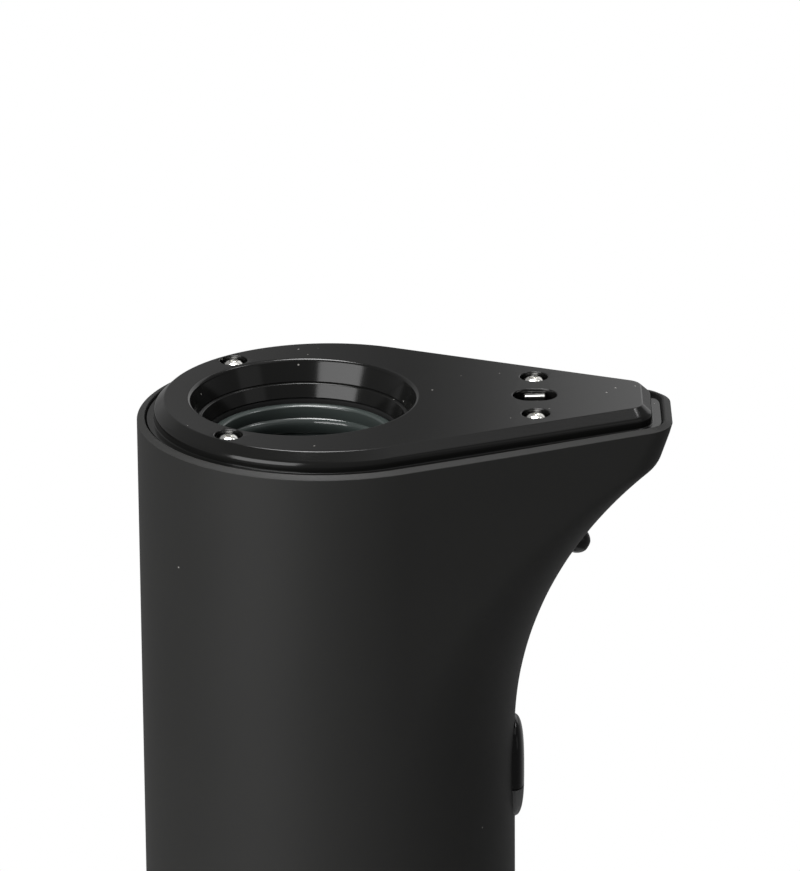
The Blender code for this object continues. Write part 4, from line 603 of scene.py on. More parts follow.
step_radius, step_height = WELL_STEP
foot_radius, foot_height = WELL_FOOT
wall_radius = step_radius + DECK_PLATE
well = hole_lip(WELL_TOP_RADIUS, DECK_TOP, WELL_LIP, WELL_LIP_STEPS)
for across, drop in quarter()[1:-1]:
    well.append((step_radius + DECK_LIP * (1 - across), step_height + DECK_LIP * (1 - drop)))
well += [(step_radius, step_height), *hole_lip(WELL_LEDGE_RADIUS, step_height)]
well += [(foot_radius, foot_height), (wall_radius, foot_height), (wall_radius, under_plate)]
floor_loops.append(sunk(well, (WELL_X, 0)))
for centre in DECK_SCREWS:
    seat_floor = DECK_TOP - SEAT_DEPTH
    seat = hole_lip(SEAT_RADIUS, DECK_TOP)
    seat += [(SEAT_RADIUS, seat_floor), (SEAT_BORE, seat_floor), (SEAT_BORE, BOSS_FOOT)]
    seat += [(SEAT_RADIUS + SEAT_WALL, BOSS_FOOT), (SEAT_RADIUS + SEAT_WALL, under_plate)]
    floor_loops.append(sunk(seat, centre, steps=48))
pocket_floor = DECK_TOP - POCKET_DEPTH
deck.faces.new(sunk([*hole_lip(0, DECK_TOP), (0, pocket_floor)]))
outside = []
for height in (under_plate, pocket_floor - POCKET_WALL):
    outside.append([deck.verts.new(point) for point in pocket_line(POCKET_WALL, height)])
strips(deck, outside, loop=False)
deck.faces.new(outside[-1])
floor_loops.append(outside[0])
fill_level(deck, top_loops)
fill_level(deck, floor_loops)
gloss_black = plastic(
    "gloss_black_abs",
    GLOSS_BLACK,
    roughness=0.14,
    grain_size=900.0,
    grain_height=0.0000012,
    specks=0.09,
    specular=0.25,
)
deck_piece = shown("deck_moulding", deck, gloss_black)
weighted = deck_piece.modifiers.new("weighted", "WEIGHTED_NORMAL")
weighted.keep_sharp = True
applied(deck_piece)
fitted(deck_piece, "gloss_black_abs", "housing", "deck_plate")


# Deck screws: four nickel-plated pan-head screws with a cross recess, each in its round seat. They hold the
# deck down on the posts inside the shell. One tree of Geometry Nodes makes every screw of the dispenser.
SCREW_SEAT = DECK_TOP - 0.0016
HEAD_DOME = (3.2, 0.55)
RECESS_SPAN = 1.24
RECESS_TAPER = 0.45
POINT_FROM = 0.42
POINT_TAPER = 0.45
MOST_TURN = 1.5
BRIGHT_NICKEL = (0.74, 0.73, 0.70)
DULL_SHARE = 0.82
MARK_DRIFT = 0.3


def geometry_tree(name, inputs, output):
    """A tree of Geometry Nodes with named inputs, and the sockets that give them."""
    tree = bpy.data.node_groups.new(name, "GeometryNodeTree")
    for label, kind, value in inputs:
        socket = tree.interface.new_socket(label, in_out="INPUT", socket_type=f"NodeSocket{kind}")
        if value is not None:
            socket.default_value = value
    tree.interface.new_socket(output, in_out="OUTPUT", socket_type="NodeSocketGeometry")
    return tree, tree.nodes.new("NodeGroupInput").outputs


def end_tree(tree, geometry, finish, output):
    """Real faces in one finish, as the tree's result."""
    real = node(tree, "GeometryNodeRealizeInstances", {"Geometry": geometry}).outputs["Geometry"]
    coated = node(tree, "GeometryNodeSetMaterial", {"Geometry": real, "Material": finish})
    node(tree, "NodeGroupOutput", {output: coated.outputs["Geometry"]})


def grown(name, points, edges, tree, inputs):
    """Points and edges with a tree on them, its inputs set by their identifiers."""
    data = bpy.data.meshes.new(name)
    data.from_pydata(points, edges, [])
    made = linked(name, data)
    step = made.modifiers.new(tree.name, "NODES")
    step.node_group = tree
    sockets = {item.name: item.identifier for item in tree.interface.items_tree if item.in_out == "INPUT"}
    for label, value in inputs.items():
        step[sockets[label]] = value
    return made


screws, sizes = geometry_tree(
    "pan_head_screws",
    (
        ("Seats", "Geometry", None),
        ("Head Radius", "Float", 0.0021),
        ("Head Height", "Float", 0.0015),
        ("Shank Radius", "Float", 0.0012),
        ("Length", "Float", 0.0085),
        ("Recess Width", "Float", 0.0006),
        ("Recess Depth", "Float", 0.0009),
        ("Axis", "Vector", (0, 0, 1)),
        ("Seed", "Int", 4),
        ("Finish", "Material", None),
    ),
    "Screws",
)


def screw_sum(kind, first, second=None):
    """One step of arithmetic in the screws' tree."""
    return sum_of(screws, kind, first, second)


def times(first, second):
    return screw_sum("MULTIPLY", first, second)


def point_of(x=0.0, y=0.0, z=0.0):
    return node(screws, "ShaderNodeCombineXYZ", {"X": x, "Y": y, "Z": z}).outputs["Vector"]


def nudged(geometry, offset, **more):
    """The geometry with its points moved by an offset that changes over it."""
    links = {"Geometry": geometry, "Offset": offset, **more}
    return node(screws, "GeometryNodeSetPosition", links).outputs["Geometry"]


def moved(geometry, height, turn=0.0):
    """The whole geometry raised, and turned about the upright axis."""
    links = {"Geometry": geometry, "Translation": point_of(z=height), "Rotation": (0.0, 0.0, turn)}
    return node(screws, "GeometryNodeTransform", links).outputs["Geometry"]


# Head: a short cylinder whose top is raised in a flat dome
blank = node(
    screws,
    "GeometryNodeMeshCylinder",
    {"Vertices": 48, "Fill Segments": 6, "Radius": sizes["Head Radius"], "Depth": sizes["Head Height"]},
)
half_head = times(sizes["Head Height"], 0.5)
here = node(screws, "GeometryNodeInputPosition").outputs["Position"]
parts = node(screws, "ShaderNodeSeparateXYZ", {"Vector": here}).outputs
squares = [times(parts[side], parts[side]) for side in ("X", "Y")]
share = screw_sum("DIVIDE", screw_sum("SQRT", screw_sum("ADD", *squares)), sizes["Head Radius"])
dome_power, dome_fall = HEAD_DOME
fall = times(screw_sum("POWER", share, dome_power), times(sizes["Head Height"], -dome_fall))
domed = nudged(blank.outputs["Mesh"], point_of(z=fall), Selection=screw_sum("GREATER_THAN", parts["Z"], 0.0))
# Recess: two crossed wings, narrower at their foot
recess = []
wing_size = point_of(times(sizes["Head Radius"], RECESS_SPAN), sizes["Recess Width"], sizes["Recess Depth"])
for turn in (0.0, math.pi / 2):
    wing = node(screws, "GeometryNodeMeshCube", {"Size": wing_size}).outputs["Mesh"]
    low = screw_sum("LESS_THAN", parts["Z"], 0.0)
    narrow = nudged(wing, point_of(times(times(parts["X"], low), -RECESS_TAPER)))
    recess.append(moved(narrow, half_head, turn))
slotted = node(screws, "GeometryNodeMeshBoolean", {"Mesh 1": domed}, operation="DIFFERENCE", solver="EXACT")
for wing in recess:
    screws.links.new(wing, slotted.inputs["Mesh 2"])
raised = moved(slotted.outputs["Mesh"], half_head)
# Shank with a blunt point
rod = node(
    screws,
    "GeometryNodeMeshCylinder",
    {"Vertices": 24, "Side Segments": 12, "Radius": sizes["Shank Radius"], "Depth": sizes["Length"]},
)
foot = screw_sum("LESS_THAN", parts["Z"], times(sizes["Length"], -POINT_FROM))
shrink = times(foot, -POINT_TAPER)
tapered = nudged(rod.outputs["Mesh"], point_of(times(parts["X"], shrink), times(parts["Y"], shrink)))
lowered = moved(tapered, times(sizes["Length"], -0.5))
screw = node(screws, "GeometryNodeJoinGeometry")
for part in (lowered, raised):
    screws.links.new(part, screw.inputs["Geometry"])
upright = node(screws, "FunctionNodeAlignRotationToVector", {"Vector": sizes["Axis"]}, axis="Z")
limits = {"Min": 0.0, "Max": MOST_TURN, "Seed": sizes["Seed"]}
chance = node(screws, "FunctionNodeRandomValue", limits, data_type="FLOAT")
spin = {"Axis": (0.0, 0.0, 1.0), "Angle": chance.outputs[1]}
own_turn = node(screws, "FunctionNodeAxisAngleToRotation", spin)
turns = {"Rotation": upright.outputs["Rotation"], "Rotate By": own_turn.outputs["Rotation"]}
both_turns = node(screws, "FunctionNodeRotateRotation", turns, rotation_space="LOCAL").outputs["Rotation"]
seated = {"Points": sizes["Seats"], "Instance": screw.outputs["Geometry"], "Rotation": both_turns}
placed = node(screws, "GeometryNodeInstanceOnPoints", seated)
end_tree(screws, placed.outputs["Instances"], sizes["Finish"], "Screws")


def metal(name, colour, roughness, streaks=900.0, scratch=0.0000015, flow_size=160.0):
    """A plated or drawn metal: fine tool marks in its gloss and a faint drift of colour."""
    made, tree, shader = new_finish(name)
    skin = node(tree, "ShaderNodeGroup", node_tree=grain)
    feed(tree, skin, {"Grain Size": streaks, "Flow Size": flow_size})
    marks = skin.outputs["Height"]
    dull = (*[channel * DULL_SHARE for channel in colour], 1)
    looks = {
        "Metallic": 1.0,
        "Base Color": blend(tree, skin.outputs["Flow"], dull, (*colour, 1)),
        "Roughness": ranged(tree, marks, end=(roughness * (1 - MARK_DRIFT), roughness * (1 + MARK_DRIFT))),
        "Normal": bump(tree, marks, scratch),
    }
    feed(tree, shader, looks)
    return made


def screw_set(name, seats, finish, slot, inputs, *replaced):
    """Screws at these seats, as one plain mesh that replaces their CAD nodes."""
    made = applied(grown(name, seats, [], screws, {"Finish": finish, **inputs}))
    smoothed(made.data, limit=35)
    fitted(made, slot, "housing", *replaced)


bright_nickel = metal("bright_nickel", BRIGHT_NICKEL, roughness=0.20)
screw_set(
    "deck_screws",
    [(x, y, SCREW_SEAT) for x, y in DECK_SCREWS],
    bright_nickel,
    "bright_nickel",
    {},
    "deck_screw_back_right",
    "deck_screw_back_left",
    "deck_screw_front_right",
    "deck_screw_front_left",
)


# Catch magnet: a small nickel-plated block pressed in against the far wall of the pocket. It holds the
# lift-off top cover in place, and only its top edge catches the light.
MAGNET_SIZE = (0.0042, 0.0022, 0.0027)
MAGNET_GAP = 0.0003
MAGNET_EDGE = 0.00028

magnet = bmesh.new()
bmesh.ops.create_cube(magnet, size=1)
magnet_y = POCKET_SIZE[1] / 2 - MAGNET_SIZE[1] / 2 - MAGNET_GAP
magnet_z = pocket_floor + MAGNET_GAP + MAGNET_SIZE[2] / 2
bmesh.ops.scale(magnet, vec=MAGNET_SIZE, verts=magnet.verts)
bmesh.ops.translate(magnet, vec=(POCKET_X, magnet_y, magnet_z), verts=magnet.verts)
bmesh.ops.bevel(magnet, geom=magnet.edges[:], offset=MAGNET_EDGE, segments=4, profile=0.5, affect="EDGES")
magnet_piece = shown("catch_block", magnet, bright_nickel, limit=60)
fitted(magnet_piece, "bright_nickel", "housing", "catch_magnet")


# Reservoir: a blow-moulded tank of smoky clear plastic. Its round neck stands up in the fill well with
# a rounded lip and a bead inside it, and the shoulder curves away to the tank's wall.
TANK_RADIUS = 0.0343
TANK_WALL = 0.0015
TANK_FLAT = 0.0240
TANK_FLOOR = 0.1045
TANK_CENTRE = 0.012
TANK_EDGE = 0.0012
FLOOR_BEVEL = 0.0010
SHOULDER_TOP = RIM_HEIGHT - 0.0170
SHOULDER_ROUND = (0.0004, 0.0010)
NECK_FOOT = SHOULDER_TOP + 0.0040
NECK_TOP = RIM_HEIGHT - 0.00395
NECK_RADIUS = 0.0189
NECK_WALL = 0.0020
NECK_LIP = 0.0004
NECK_BEND = 0.0010
BEAD = (0.0009, 0.0017)
BEAD_Z = RIM_HEIGHT - 0.0082
COLLAR_RADIUS = 0.0215
COLLAR = (RIM_HEIGHT - 0.0074, RIM_HEIGHT - 0.0056)
COLLAR_EDGE = 0.0003
OUTLET = (0.0134, -0.0240)
OUTLET_RADIUS = 0.0028
OUTLET_BORE = 0.0018
OUTLET_FOOT = TANK_FLOOR - 0.0065
OUTLET_SUNK = 0.0002
OUTLET_LEAD = (0.0003, 0.0004)
SMOKY_PLASTIC = (0.048, 0.058, 0.055)
SHOULDER_TURNS = 8
NECK_TURNS = 8
INNER_TURNS = 10


def tank_line(radius, height, centre=WELL_X, flat=TANK_FLAT, steps=128):
    """A level line of the tank: a circle with one side cut flat, to leave room for the hose."""
    line = []
    for k in range(steps):
        out = heading(2 * math.pi * (k + 0.5) / steps) * radius
        line.append(Vector((min(centre + out.x, flat), out.y, height)))
    return line


inner_radius = TANK_RADIUS - TANK_WALL
inner_flat = TANK_FLAT - TANK_WALL
inner_floor = TANK_FLOOR + TANK_WALL
bore = NECK_RADIUS - NECK_WALL
collar_low, collar_high = COLLAR
round_in, round_down = SHOULDER_ROUND
shoulder = TANK_RADIUS - round_in
tank_levels = [(TANK_CENTRE, TANK_FLOOR, 0)]
for across, drop in quarter():
    inset = TANK_EDGE * across
    tank_levels.append((TANK_RADIUS - inset, TANK_FLOOR + TANK_EDGE * drop, 0, TANK_FLAT - inset))
tank_levels += [(TANK_RADIUS, SHOULDER_TOP - round_down, 0), (shoulder, SHOULDER_TOP, 0)]
for share in shares(SHOULDER_TURNS)[1:]:
    radius = shoulder + (NECK_RADIUS - shoulder) * share
    tank_levels.append((radius, SHOULDER_TOP + (NECK_FOOT - SHOULDER_TOP) * eased(share), WELL_X * share))
tank_levels += [
    (NECK_RADIUS, collar_low),
    (COLLAR_RADIUS - COLLAR_EDGE, collar_low),
    (COLLAR_RADIUS, collar_low + COLLAR_EDGE),
    (COLLAR_RADIUS, collar_high - COLLAR_EDGE),
    (COLLAR_RADIUS - COLLAR_EDGE, collar_high),
    (NECK_RADIUS, collar_high),
]
for share in shares(NECK_TURNS):
    out = heading(math.pi * share)
    radius = NECK_RADIUS - NECK_WALL / 2 + NECK_WALL / 2 * out.x
    tank_levels.append((radius, NECK_TOP - NECK_LIP * (1 - out.y)))
for share in shares(NECK_TURNS):
    out = heading(math.pi * share)
    tank_levels.append((bore - BEAD[0] * out.y, BEAD_Z + BEAD[1] * out.x))
for share in shares(INNER_TURNS):
    out = heading(math.pi / 2 * share)
    ease = 1 - out.x
    height = NECK_FOOT + NECK_BEND - (NECK_FOOT - SHOULDER_TOP + 2 * NECK_BEND) * out.y
    flat = inner_flat + TANK_WALL * (1 - share)
    tank_levels.append((bore + (inner_radius - bore) * ease, height, WELL_X * (1 - ease), flat))
tank_levels += [
    (inner_radius, inner_floor + FLOOR_BEVEL, 0, inner_flat),
    (inner_radius - FLOOR_BEVEL, inner_floor, 0, inner_flat - FLOOR_BEVEL),
    (TANK_CENTRE, inner_floor, 0, inner_flat),
]
tank = bmesh.new()
rows = [[tank.verts.new(point) for point in tank_line(*level)] for level in tank_levels]
strips(tank, rows, loop=False, capped=True)
smoky_plastic = plastic(
    "smoky_tank_plastic",
    SMOKY_PLASTIC,
    roughness=0.13,
    grain_size=700.0,
    grain_height=0.000004,
    specks=0.01,
    mottle=0.2,
)
tank_piece = shown("tank_moulding", tank, smoky_plastic, limit=50)
nipple = bmesh.new()
around = [
    (OUTLET_BORE, TANK_FLOOR + OUTLET_SUNK),
    (OUTLET_RADIUS, TANK_FLOOR + OUTLET_SUNK),
    (OUTLET_RADIUS, OUTLET_FOOT + OUTLET_LEAD[1]),
    (OUTLET_RADIUS - OUTLET_LEAD[0], OUTLET_FOOT),
    (OUTLET_BORE, OUTLET_FOOT),
]
rows = [[nipple.verts.new(point) for point in round_line(OUTLET, *level, steps=32)] for level in around]
strips(nipple, rows)
nipple_piece = shown("tank_outlet", nipple, smoky_plastic)
for piece in (tank_piece, nipple_piece):
    fitted(piece, "smoky_tank_plastic", "housing", "reservoir")


# Well gasket: a soft ring of black rubber round the tank's neck. It is stretched over the neck, and squeezed
# between the neck's collar and the deck's foot.
GASKET_PLAY = 0.0003
GASKET_TOP = RIM_HEIGHT - 0.0033
GASKET_EDGE = 0.0003
RING_TURNS = 3
BLACK_RUBBER = (0.010, 0.010, 0.010)


def turned_ring(name, inner, outer, low, high, edge, finish, centre=(0, 0)):
    """A ring of square section with rounded edges, turned round an upright axis."""
    mesh = bmesh.new()
    profile = []
    inner, outer, low, high = inner + edge, outer - edge, low + edge, high - edge
    for quarters, (radius, height) in enumerate(((outer, high), (inner, high), (inner, low), (outer, low))):
        for share in shares(RING_TURNS):
            out = heading(math.pi / 2 * (quarters + share)) * edge
            profile.append((radius + out.x, height + out.y))
    strips(mesh, [[mesh.verts.new(point) for point in round_line(centre, *level)] for level in profile])
    return shown(name, mesh, finish, limit=50)


black_rubber = plastic(
    "black_rubber",
    BLACK_RUBBER,
    roughness=0.75,
    grain_size=3500.0,
    grain_height=0.000012,
    specks=0.03,
    specular=0.3,
    mottle=0.15,
)
gasket = turned_ring(
    "neck_gasket",
    NECK_RADIUS + GASKET_PLAY,
    COLLAR_RADIUS,
    collar_high + GASKET_PLAY,
    GASKET_TOP,
    GASKET_EDGE,
    black_rubber,
    (WELL_X, 0),
)
fitted(gasket, "black_rubber", "housing", "well_gasket")


# Nozzle: a gloss black tip square to the beak's underside. Its dome stands proud round the outlet, a flange
# holds it behind the wall, and the delivery hose grips its barrel. A pale silicone valve closes the barrel.
NOZZLE_PROUD = 0.0034
NOZZLE_BORE = 0.0010
NOZZLE_BARREL = (0.0015, 0.0085)
NOZZLE_FLANGE = (0.0044, -0.0036, -0.0024)
NOZZLE_ROUND = math.radians(66.0)
NOZZLE_STEPS = 24
NOZZLE_LEAD = 0.0002
PALE_SILICONE = (0.52, 0.52, 0.49)


def turned_piece(name, profile, finish, steps, matrix=None, capped=True):
    """A profile of (radius, height) turned round an axis. Capped, it starts and ends in flat faces."""
    mesh = bmesh.new()
    rows = [[mesh.verts.new(point) for point in round_line((0, 0), *level, steps)] for level in profile]
    strips(mesh, rows, loop=not capped, capped=capped)
    if matrix:
        mesh.transform(matrix)
    return shown(name, mesh, finish, limit=35)


def dress(finish, slot, *names):
    """CAD nodes that stay as they are take a finish of their own."""
    for name in names:
        nodes[name].data.materials.clear()
        nodes[name].data.materials.append(finish)


barrel_radius, barrel_length = NOZZLE_BARREL
flange_radius, flange_low, flange_high = NOZZLE_FLANGE
tip = [(NOZZLE_BORE, -barrel_length), (barrel_radius, -barrel_length), (barrel_radius, flange_low)]
tip += [(flange_radius, flange_low), (flange_radius, flange_high), (NOZZLE_RADIUS, flange_high)]
for share in shares(NOZZLE_STEPS):
    out = heading(NOZZLE_ROUND * share)
    tip.append((NOZZLE_RADIUS * out.x, NOZZLE_PROUD * out.y))
tip.append((NOZZLE_BORE, tip[-1][1] - NOZZLE_LEAD))
nozzle_piece = turned_piece("nozzle_dome", tip, gloss_black, 64, matrix=to_nozzle, capped=False)
fitted(nozzle_piece, "gloss_black_abs", "housing", "nozzle_tip")
pale_silicone = plastic(
    "pale_silicone",
    PALE_SILICONE,
    roughness=0.40,
    grain_size=1500.0,
    grain_height=0.00001,
    mottle=0.06,
)
dress(pale_silicone, "pale_silicone", "nozzle_valve")


# Front panel: a domed oval let into the body below the beak. Its upper part is a dark window that only
# infrared light passes, and its lower part is the grey ABS button, parted from it by a fine seam.
PANEL_PROUD = 0.0019
PANEL_DOME_POWER = 3.0
PANEL_ROW_POWER = 0.6
PANEL_ROWS = 20
PANEL_DEPTH = 0.0034
BUTTON_SHARE = 0.36
SEAM = 0.00035
WINDOW_BLACK = (0.0025, 0.0025, 0.0028)
GREY_ABS = (0.10, 0.10, 0.10)

panel_face = math.sqrt(BODY_RADIUS**2 - PANEL_HALF_WIDTH**2)
panel_swell = BODY_RADIUS + PANEL_PROUD - panel_face
panel_split = PANEL_Z - PANEL_HALF_HEIGHT + 2 * PANEL_HALF_HEIGHT * BUTTON_SHARE


def panel_part(name, finish, side, slot, body, replaced):
    """The dome's part above (side 1) or below (side -1) the seam."""
    mesh = bmesh.new()
    shapes = [(1.0, -PANEL_DEPTH), (1.0, 0.0)]
    for turned in shares(PANEL_ROWS)[1:-1]:
        share = math.cos(math.pi / 2 * turned) ** PANEL_ROW_POWER
        shapes.append((share, panel_swell * (1 - share**PANEL_DOME_POWER) ** (1 / PANEL_DOME_POWER)))
    rows = []
    for share, out in shapes:
        line = panel_line(0, share, steps=96)
        rows.append([mesh.verts.new((panel_face + out, across, PANEL_Z + up)) for up, across in line])
    strips(mesh, rows, loop=False, capped=True)
    everything = [*mesh.verts, *mesh.edges, *mesh.faces]
    seam = (0, 0, panel_split + side * SEAM / 2)
    bmesh.ops.bisect_plane(mesh, geom=everything, plane_co=seam, plane_no=(0, 0, side), clear_inner=True)
    bmesh.ops.holes_fill(mesh, edges=[edge for edge in mesh.edges if edge.is_boundary], sides=0)
    fitted(shown(name, mesh, finish, limit=40), slot, body, replaced)


infrared_window = plastic(
    "infrared_window",
    WINDOW_BLACK,
    roughness=0.10,
    grain_size=700.0,
    grain_height=0.0000008,
    specks=0.004,
    specular=0.25,
    mottle=0.3,
)
grey_abs = plastic(
    "grey_abs",
    GREY_ABS,
    roughness=0.50,
    grain_size=2600.0,
    grain_height=0.00001,
    specks=0.002,
    specular=0.3,
)
panel_part("window_pane", infrared_window, 1, "infrared_window", "housing", "sensor_window")
panel_part("button_cap", grey_abs, -1, "grey_abs", "button", "control_button")


# Circuit board behind the panel: green solder resist over copper tracks, with the infrared pair in dark
# epoxy, a status light and the button's switch soldered to its front, and two screws into the shell.
BOARD_GREEN = (0.008, 0.075, 0.028, 1)
TRACK_GREEN = (0.020, 0.150, 0.060, 1)
TINNED = (0.55, 0.54, 0.50, 1)
PAD_RADIUS = 0.22
TRACK_HEIGHT = 0.00003
BOARD_SCREW_X = 0.0269
BOARD_SCREW_RISE = 0.0139
BOARD_SCREWS = [(BOARD_SCREW_X, 0, PANEL_Z + side * BOARD_SCREW_RISE) for side in (-1, 1)]
PLATE_SCREW = {"Head Radius": 0.0020, "Head Height": 0.0013, "Shank Radius": 0.0011, "Length": 0.0060}
ZINC = (0.56, 0.56, 0.55)
DARK_EPOXY = (0.020, 0.012, 0.032)
MILKY_LENS = (0.70, 0.73, 0.67)

green_board, tree, shader = new_finish("green_board")
spot = own_spot(tree)
turned = node(tree, "ShaderNodeMapping", {"Vector": spot, "Rotation": (0.0, math.pi / 2, 0.0)})
tracks = node(
    tree,
    "ShaderNodeTexBrick",
    {
        "Vector": turned.outputs["Vector"],
        "Color1": BOARD_GREEN,
        "Color2": BOARD_GREEN,
        "Mortar": TRACK_GREEN,
        "Scale": 260.0,
        "Mortar Size": 0.06,
        "Brick Width": 1.4,
        "Row Height": 0.36,
    },
).outputs
pads = node(tree, "ShaderNodeTexVoronoi", {"Vector": spot, "Scale": 420.0, "Randomness": 0.6})
dots = sum_of(tree, "LESS_THAN", pads.outputs["Distance"], PAD_RADIUS)
looks = {
    "Base Color": blend(tree, dots, tracks["Color"], TINNED),
    "Metallic": dots,
    "Normal": bump(tree, tracks["Fac"], TRACK_HEIGHT),
    "Roughness": 0.35,
}
feed(tree, shader, looks)

zinc_steel = metal("zinc_steel", ZINC, roughness=0.32, streaks=500.0)
dark_diode = plastic(
    "dark_diode",
    DARK_EPOXY,
    roughness=0.10,
    grain_size=600.0,
    grain_height=0.000001,
    mottle=0.25,
)
light_lens = plastic("light_lens", MILKY_LENS, roughness=0.24, grain_size=900.0, grain_height=0.000003)
dress(green_board, "green_board", "circuit_board")
dress(dark_diode, "dark_diode", "infrared_emitter", "infrared_receiver")
dress(light_lens, "light_lens", "status_light")
dress(grey_abs, "grey_abs", "button_switch")
inwards = {**PLATE_SCREW, "Axis": (-1.0, 0.0, 0.0), "Seed": 7}
replaced = ("board_screw_low", "board_screw_high")
screw_set("board_screws", BOARD_SCREWS, zinc_steel, "zinc_steel", inwards, *replaced)


# Chassis, pump and drive: a grey ABS plate screwed to the shell's ledge carries a gear pump with its cover,
# and a can motor in a cradle. Acetal gears and steel shafts join them, and a rubber seal closes the shaft.
CHASSIS_SCREWS = [(0.01655, 0.02867, 0.0688), (-0.0331, 0, 0.0688), (0.01655, -0.02867, 0.0688)]
PUMP_SCREWS = [(0.0188, 0.008175, 0.0821), (0.0080, -0.008175, 0.0821)]
WHITE_ACETAL = (0.70, 0.69, 0.65)

white_acetal = plastic(
    "white_acetal",
    WHITE_ACETAL,
    roughness=0.38,
    grain_size=1800.0,
    grain_height=0.000008,
    mottle=0.04,
)
dress(grey_abs, "grey_abs", "chassis_plate", "pump_housing", "pump_cover", "motor_cradle")
dress(zinc_steel, "zinc_steel", "pump_idler_pin", "pump_drive_shaft", "motor_shaft", "motor")
dress(white_acetal, "white_acetal", "pump_drive_gear", "pump_idler_gear", "reduction_wheel", "motor_pinion")
dress(black_rubber, "black_rubber", "shaft_seal")
for name, seats, seed, replaced in (
    ("chassis_screws", CHASSIS_SCREWS, 11, ("chassis_screw_1", "chassis_screw_2", "chassis_screw_3")),
    ("pump_screws", PUMP_SCREWS, 15, ("pump_screw_left", "pump_screw_right")),
):
    screw_set(name, seats, zinc_steel, "zinc_steel", {**PLATE_SCREW, "Seed": seed}, *replaced)


# Hoses and leads: a black rubber hose from the tank to the pump, a pale silicone hose from the pump up to
# the nozzle, and two red sleeved leads. Each follows its route, made by one tree of Geometry Nodes.
SUCTION_ROUTE = [
    (0.0134, -0.0240, 0.1025),
    (0.0134, -0.0240, 0.0931),
    (0.0134, -0.0240, 0.0837),
    (0.0134, -0.0223, 0.0788),
    (0.0134, -0.0191, 0.0761),
    (0.0134, -0.0155, 0.0752),
    (0.0134, -0.0110, 0.0752),
]
BARREL_RUNS = (0.0130, 0.0085, 0.0050)
DELIVERY_BEND = Vector((-0.0055, 0.0014, 0.0018))
DELIVERY_ROUTE = [
    (0.0134, 0.0110, 0.0752),
    (0.0134, 0.0155, 0.0752),
    (0.0134, 0.0175, 0.0752),
    (0.0152, 0.0220, 0.0782),
    (0.0209, 0.0229, 0.0852),
    (0.0263, 0.0185, 0.0952),
    (0.0283, 0.0157, 0.1072),
    (0.0283, 0.0157, 0.1247),
    (0.0283, 0.01475, 0.1397),
    (0.0293, 0.0113, 0.1547),
    (0.0313, 0.0060, 0.1677),
    NOZZLE_SEAT - NOZZLE_AXIS * BARREL_RUNS[0] + DELIVERY_BEND,
    *[NOZZLE_SEAT - NOZZLE_AXIS * run for run in BARREL_RUNS],
]
BATTERY_LEAD_ROUTE = [
    (0.0180, -0.0078, 0.0492),
    (0.0180, -0.0091, 0.0542),
    (0.0228, -0.0120, 0.0592),
    (0.0260, -0.0130, 0.0632),
    (0.0260, -0.0130, 0.0705),
    (0.0260, -0.0124, 0.0785),
    (0.0280, -0.0094, 0.0914),
    (0.0280, -0.0089, 0.0974),
]
MOTOR_LEAD_ROUTE = [
    (-0.0156, 0.0110, 0.0818),
    (-0.0106, 0.0120, 0.0828),
    (-0.0036, 0.0174, 0.0828),
    (0.0080, 0.0194, 0.0828),
    (0.0174, 0.0164, 0.0848),
    (0.0252, 0.0108, 0.0868),
    (0.0280, 0.0078, 0.0914),
    (0.0280, 0.0073, 0.0974),
]
SUCTION_RADII = (0.0043, 0.0031)
DELIVERY_RADII = (0.0029, 0.0018)
LEAD_RADII = (0.0007, 0)
SLEEVE_RED = (0.30, 0.018, 0.014)

tubes, sizes = geometry_tree(
    "tube_on_route",
    (
        ("Route", "Geometry", None),
        ("Radius", "Float", 0.0007),
        ("Step", "Float", 0.0008),
        ("Closed Ends", "Bool", True),
        ("Finish", "Material", None),
    ),
    "Tube",
)
line = {"Curve": node(tubes, "GeometryNodeMeshToCurve", {"Mesh": sizes["Route"]}).outputs["Curve"]}
smooth = node(tubes, "GeometryNodeCurveSplineType", line, spline_type="CATMULL_ROM")
spaced = {"Curve": smooth.outputs["Curve"], "Length": sizes["Step"]}
even = node(tubes, "GeometryNodeResampleCurve", spaced, mode="LENGTH").outputs["Curve"]
circle = node(tubes, "GeometryNodeCurvePrimitiveCircle", {"Resolution": 24, "Radius": sizes["Radius"]})
drawn = {"Curve": even, "Profile Curve": circle.outputs["Curve"], "Fill Caps": sizes["Closed Ends"]}
swept = node(tubes, "GeometryNodeCurveToMesh", drawn)
end_tree(tubes, swept.outputs["Mesh"], sizes["Finish"], "Tube")


def tube(name, route, radii, finish, slot, replaced):
    """A hose with a bore, or a solid lead where the inner radius is 0, along its route."""
    outer, inner = radii
    middle = (outer + inner) / 2 if inner else outer
    edges = [(k, k + 1) for k in range(len(route) - 1)]
    inputs = {"Radius": middle, "Closed Ends": not inner, "Finish": finish}
    made = grown(name, route, edges, tubes, inputs)
    if inner:
        wall = made.modifiers.new("wall", "SOLIDIFY")
        wall.thickness = outer - inner
        wall.offset = 0
    smoothed(applied(made).data, limit=50)
    fitted(made, slot, "housing", replaced)


lead_sleeve = plastic("lead_sleeve", SLEEVE_RED, roughness=0.45, grain_size=2400.0, grain_height=0.00001)
tube("suction_tube", SUCTION_ROUTE, SUCTION_RADII, black_rubber, "black_rubber", "suction_hose")
tube("delivery_tube", DELIVERY_ROUTE, DELIVERY_RADII, pale_silicone, "pale_silicone", "delivery_hose")
tube("battery_wire", BATTERY_LEAD_ROUTE, LEAD_RADII, lead_sleeve, "lead_sleeve", "battery_lead")
tube("motor_wire", MOTOR_LEAD_ROUTE, LEAD_RADII, lead_sleeve, "lead_sleeve", "motor_lead")


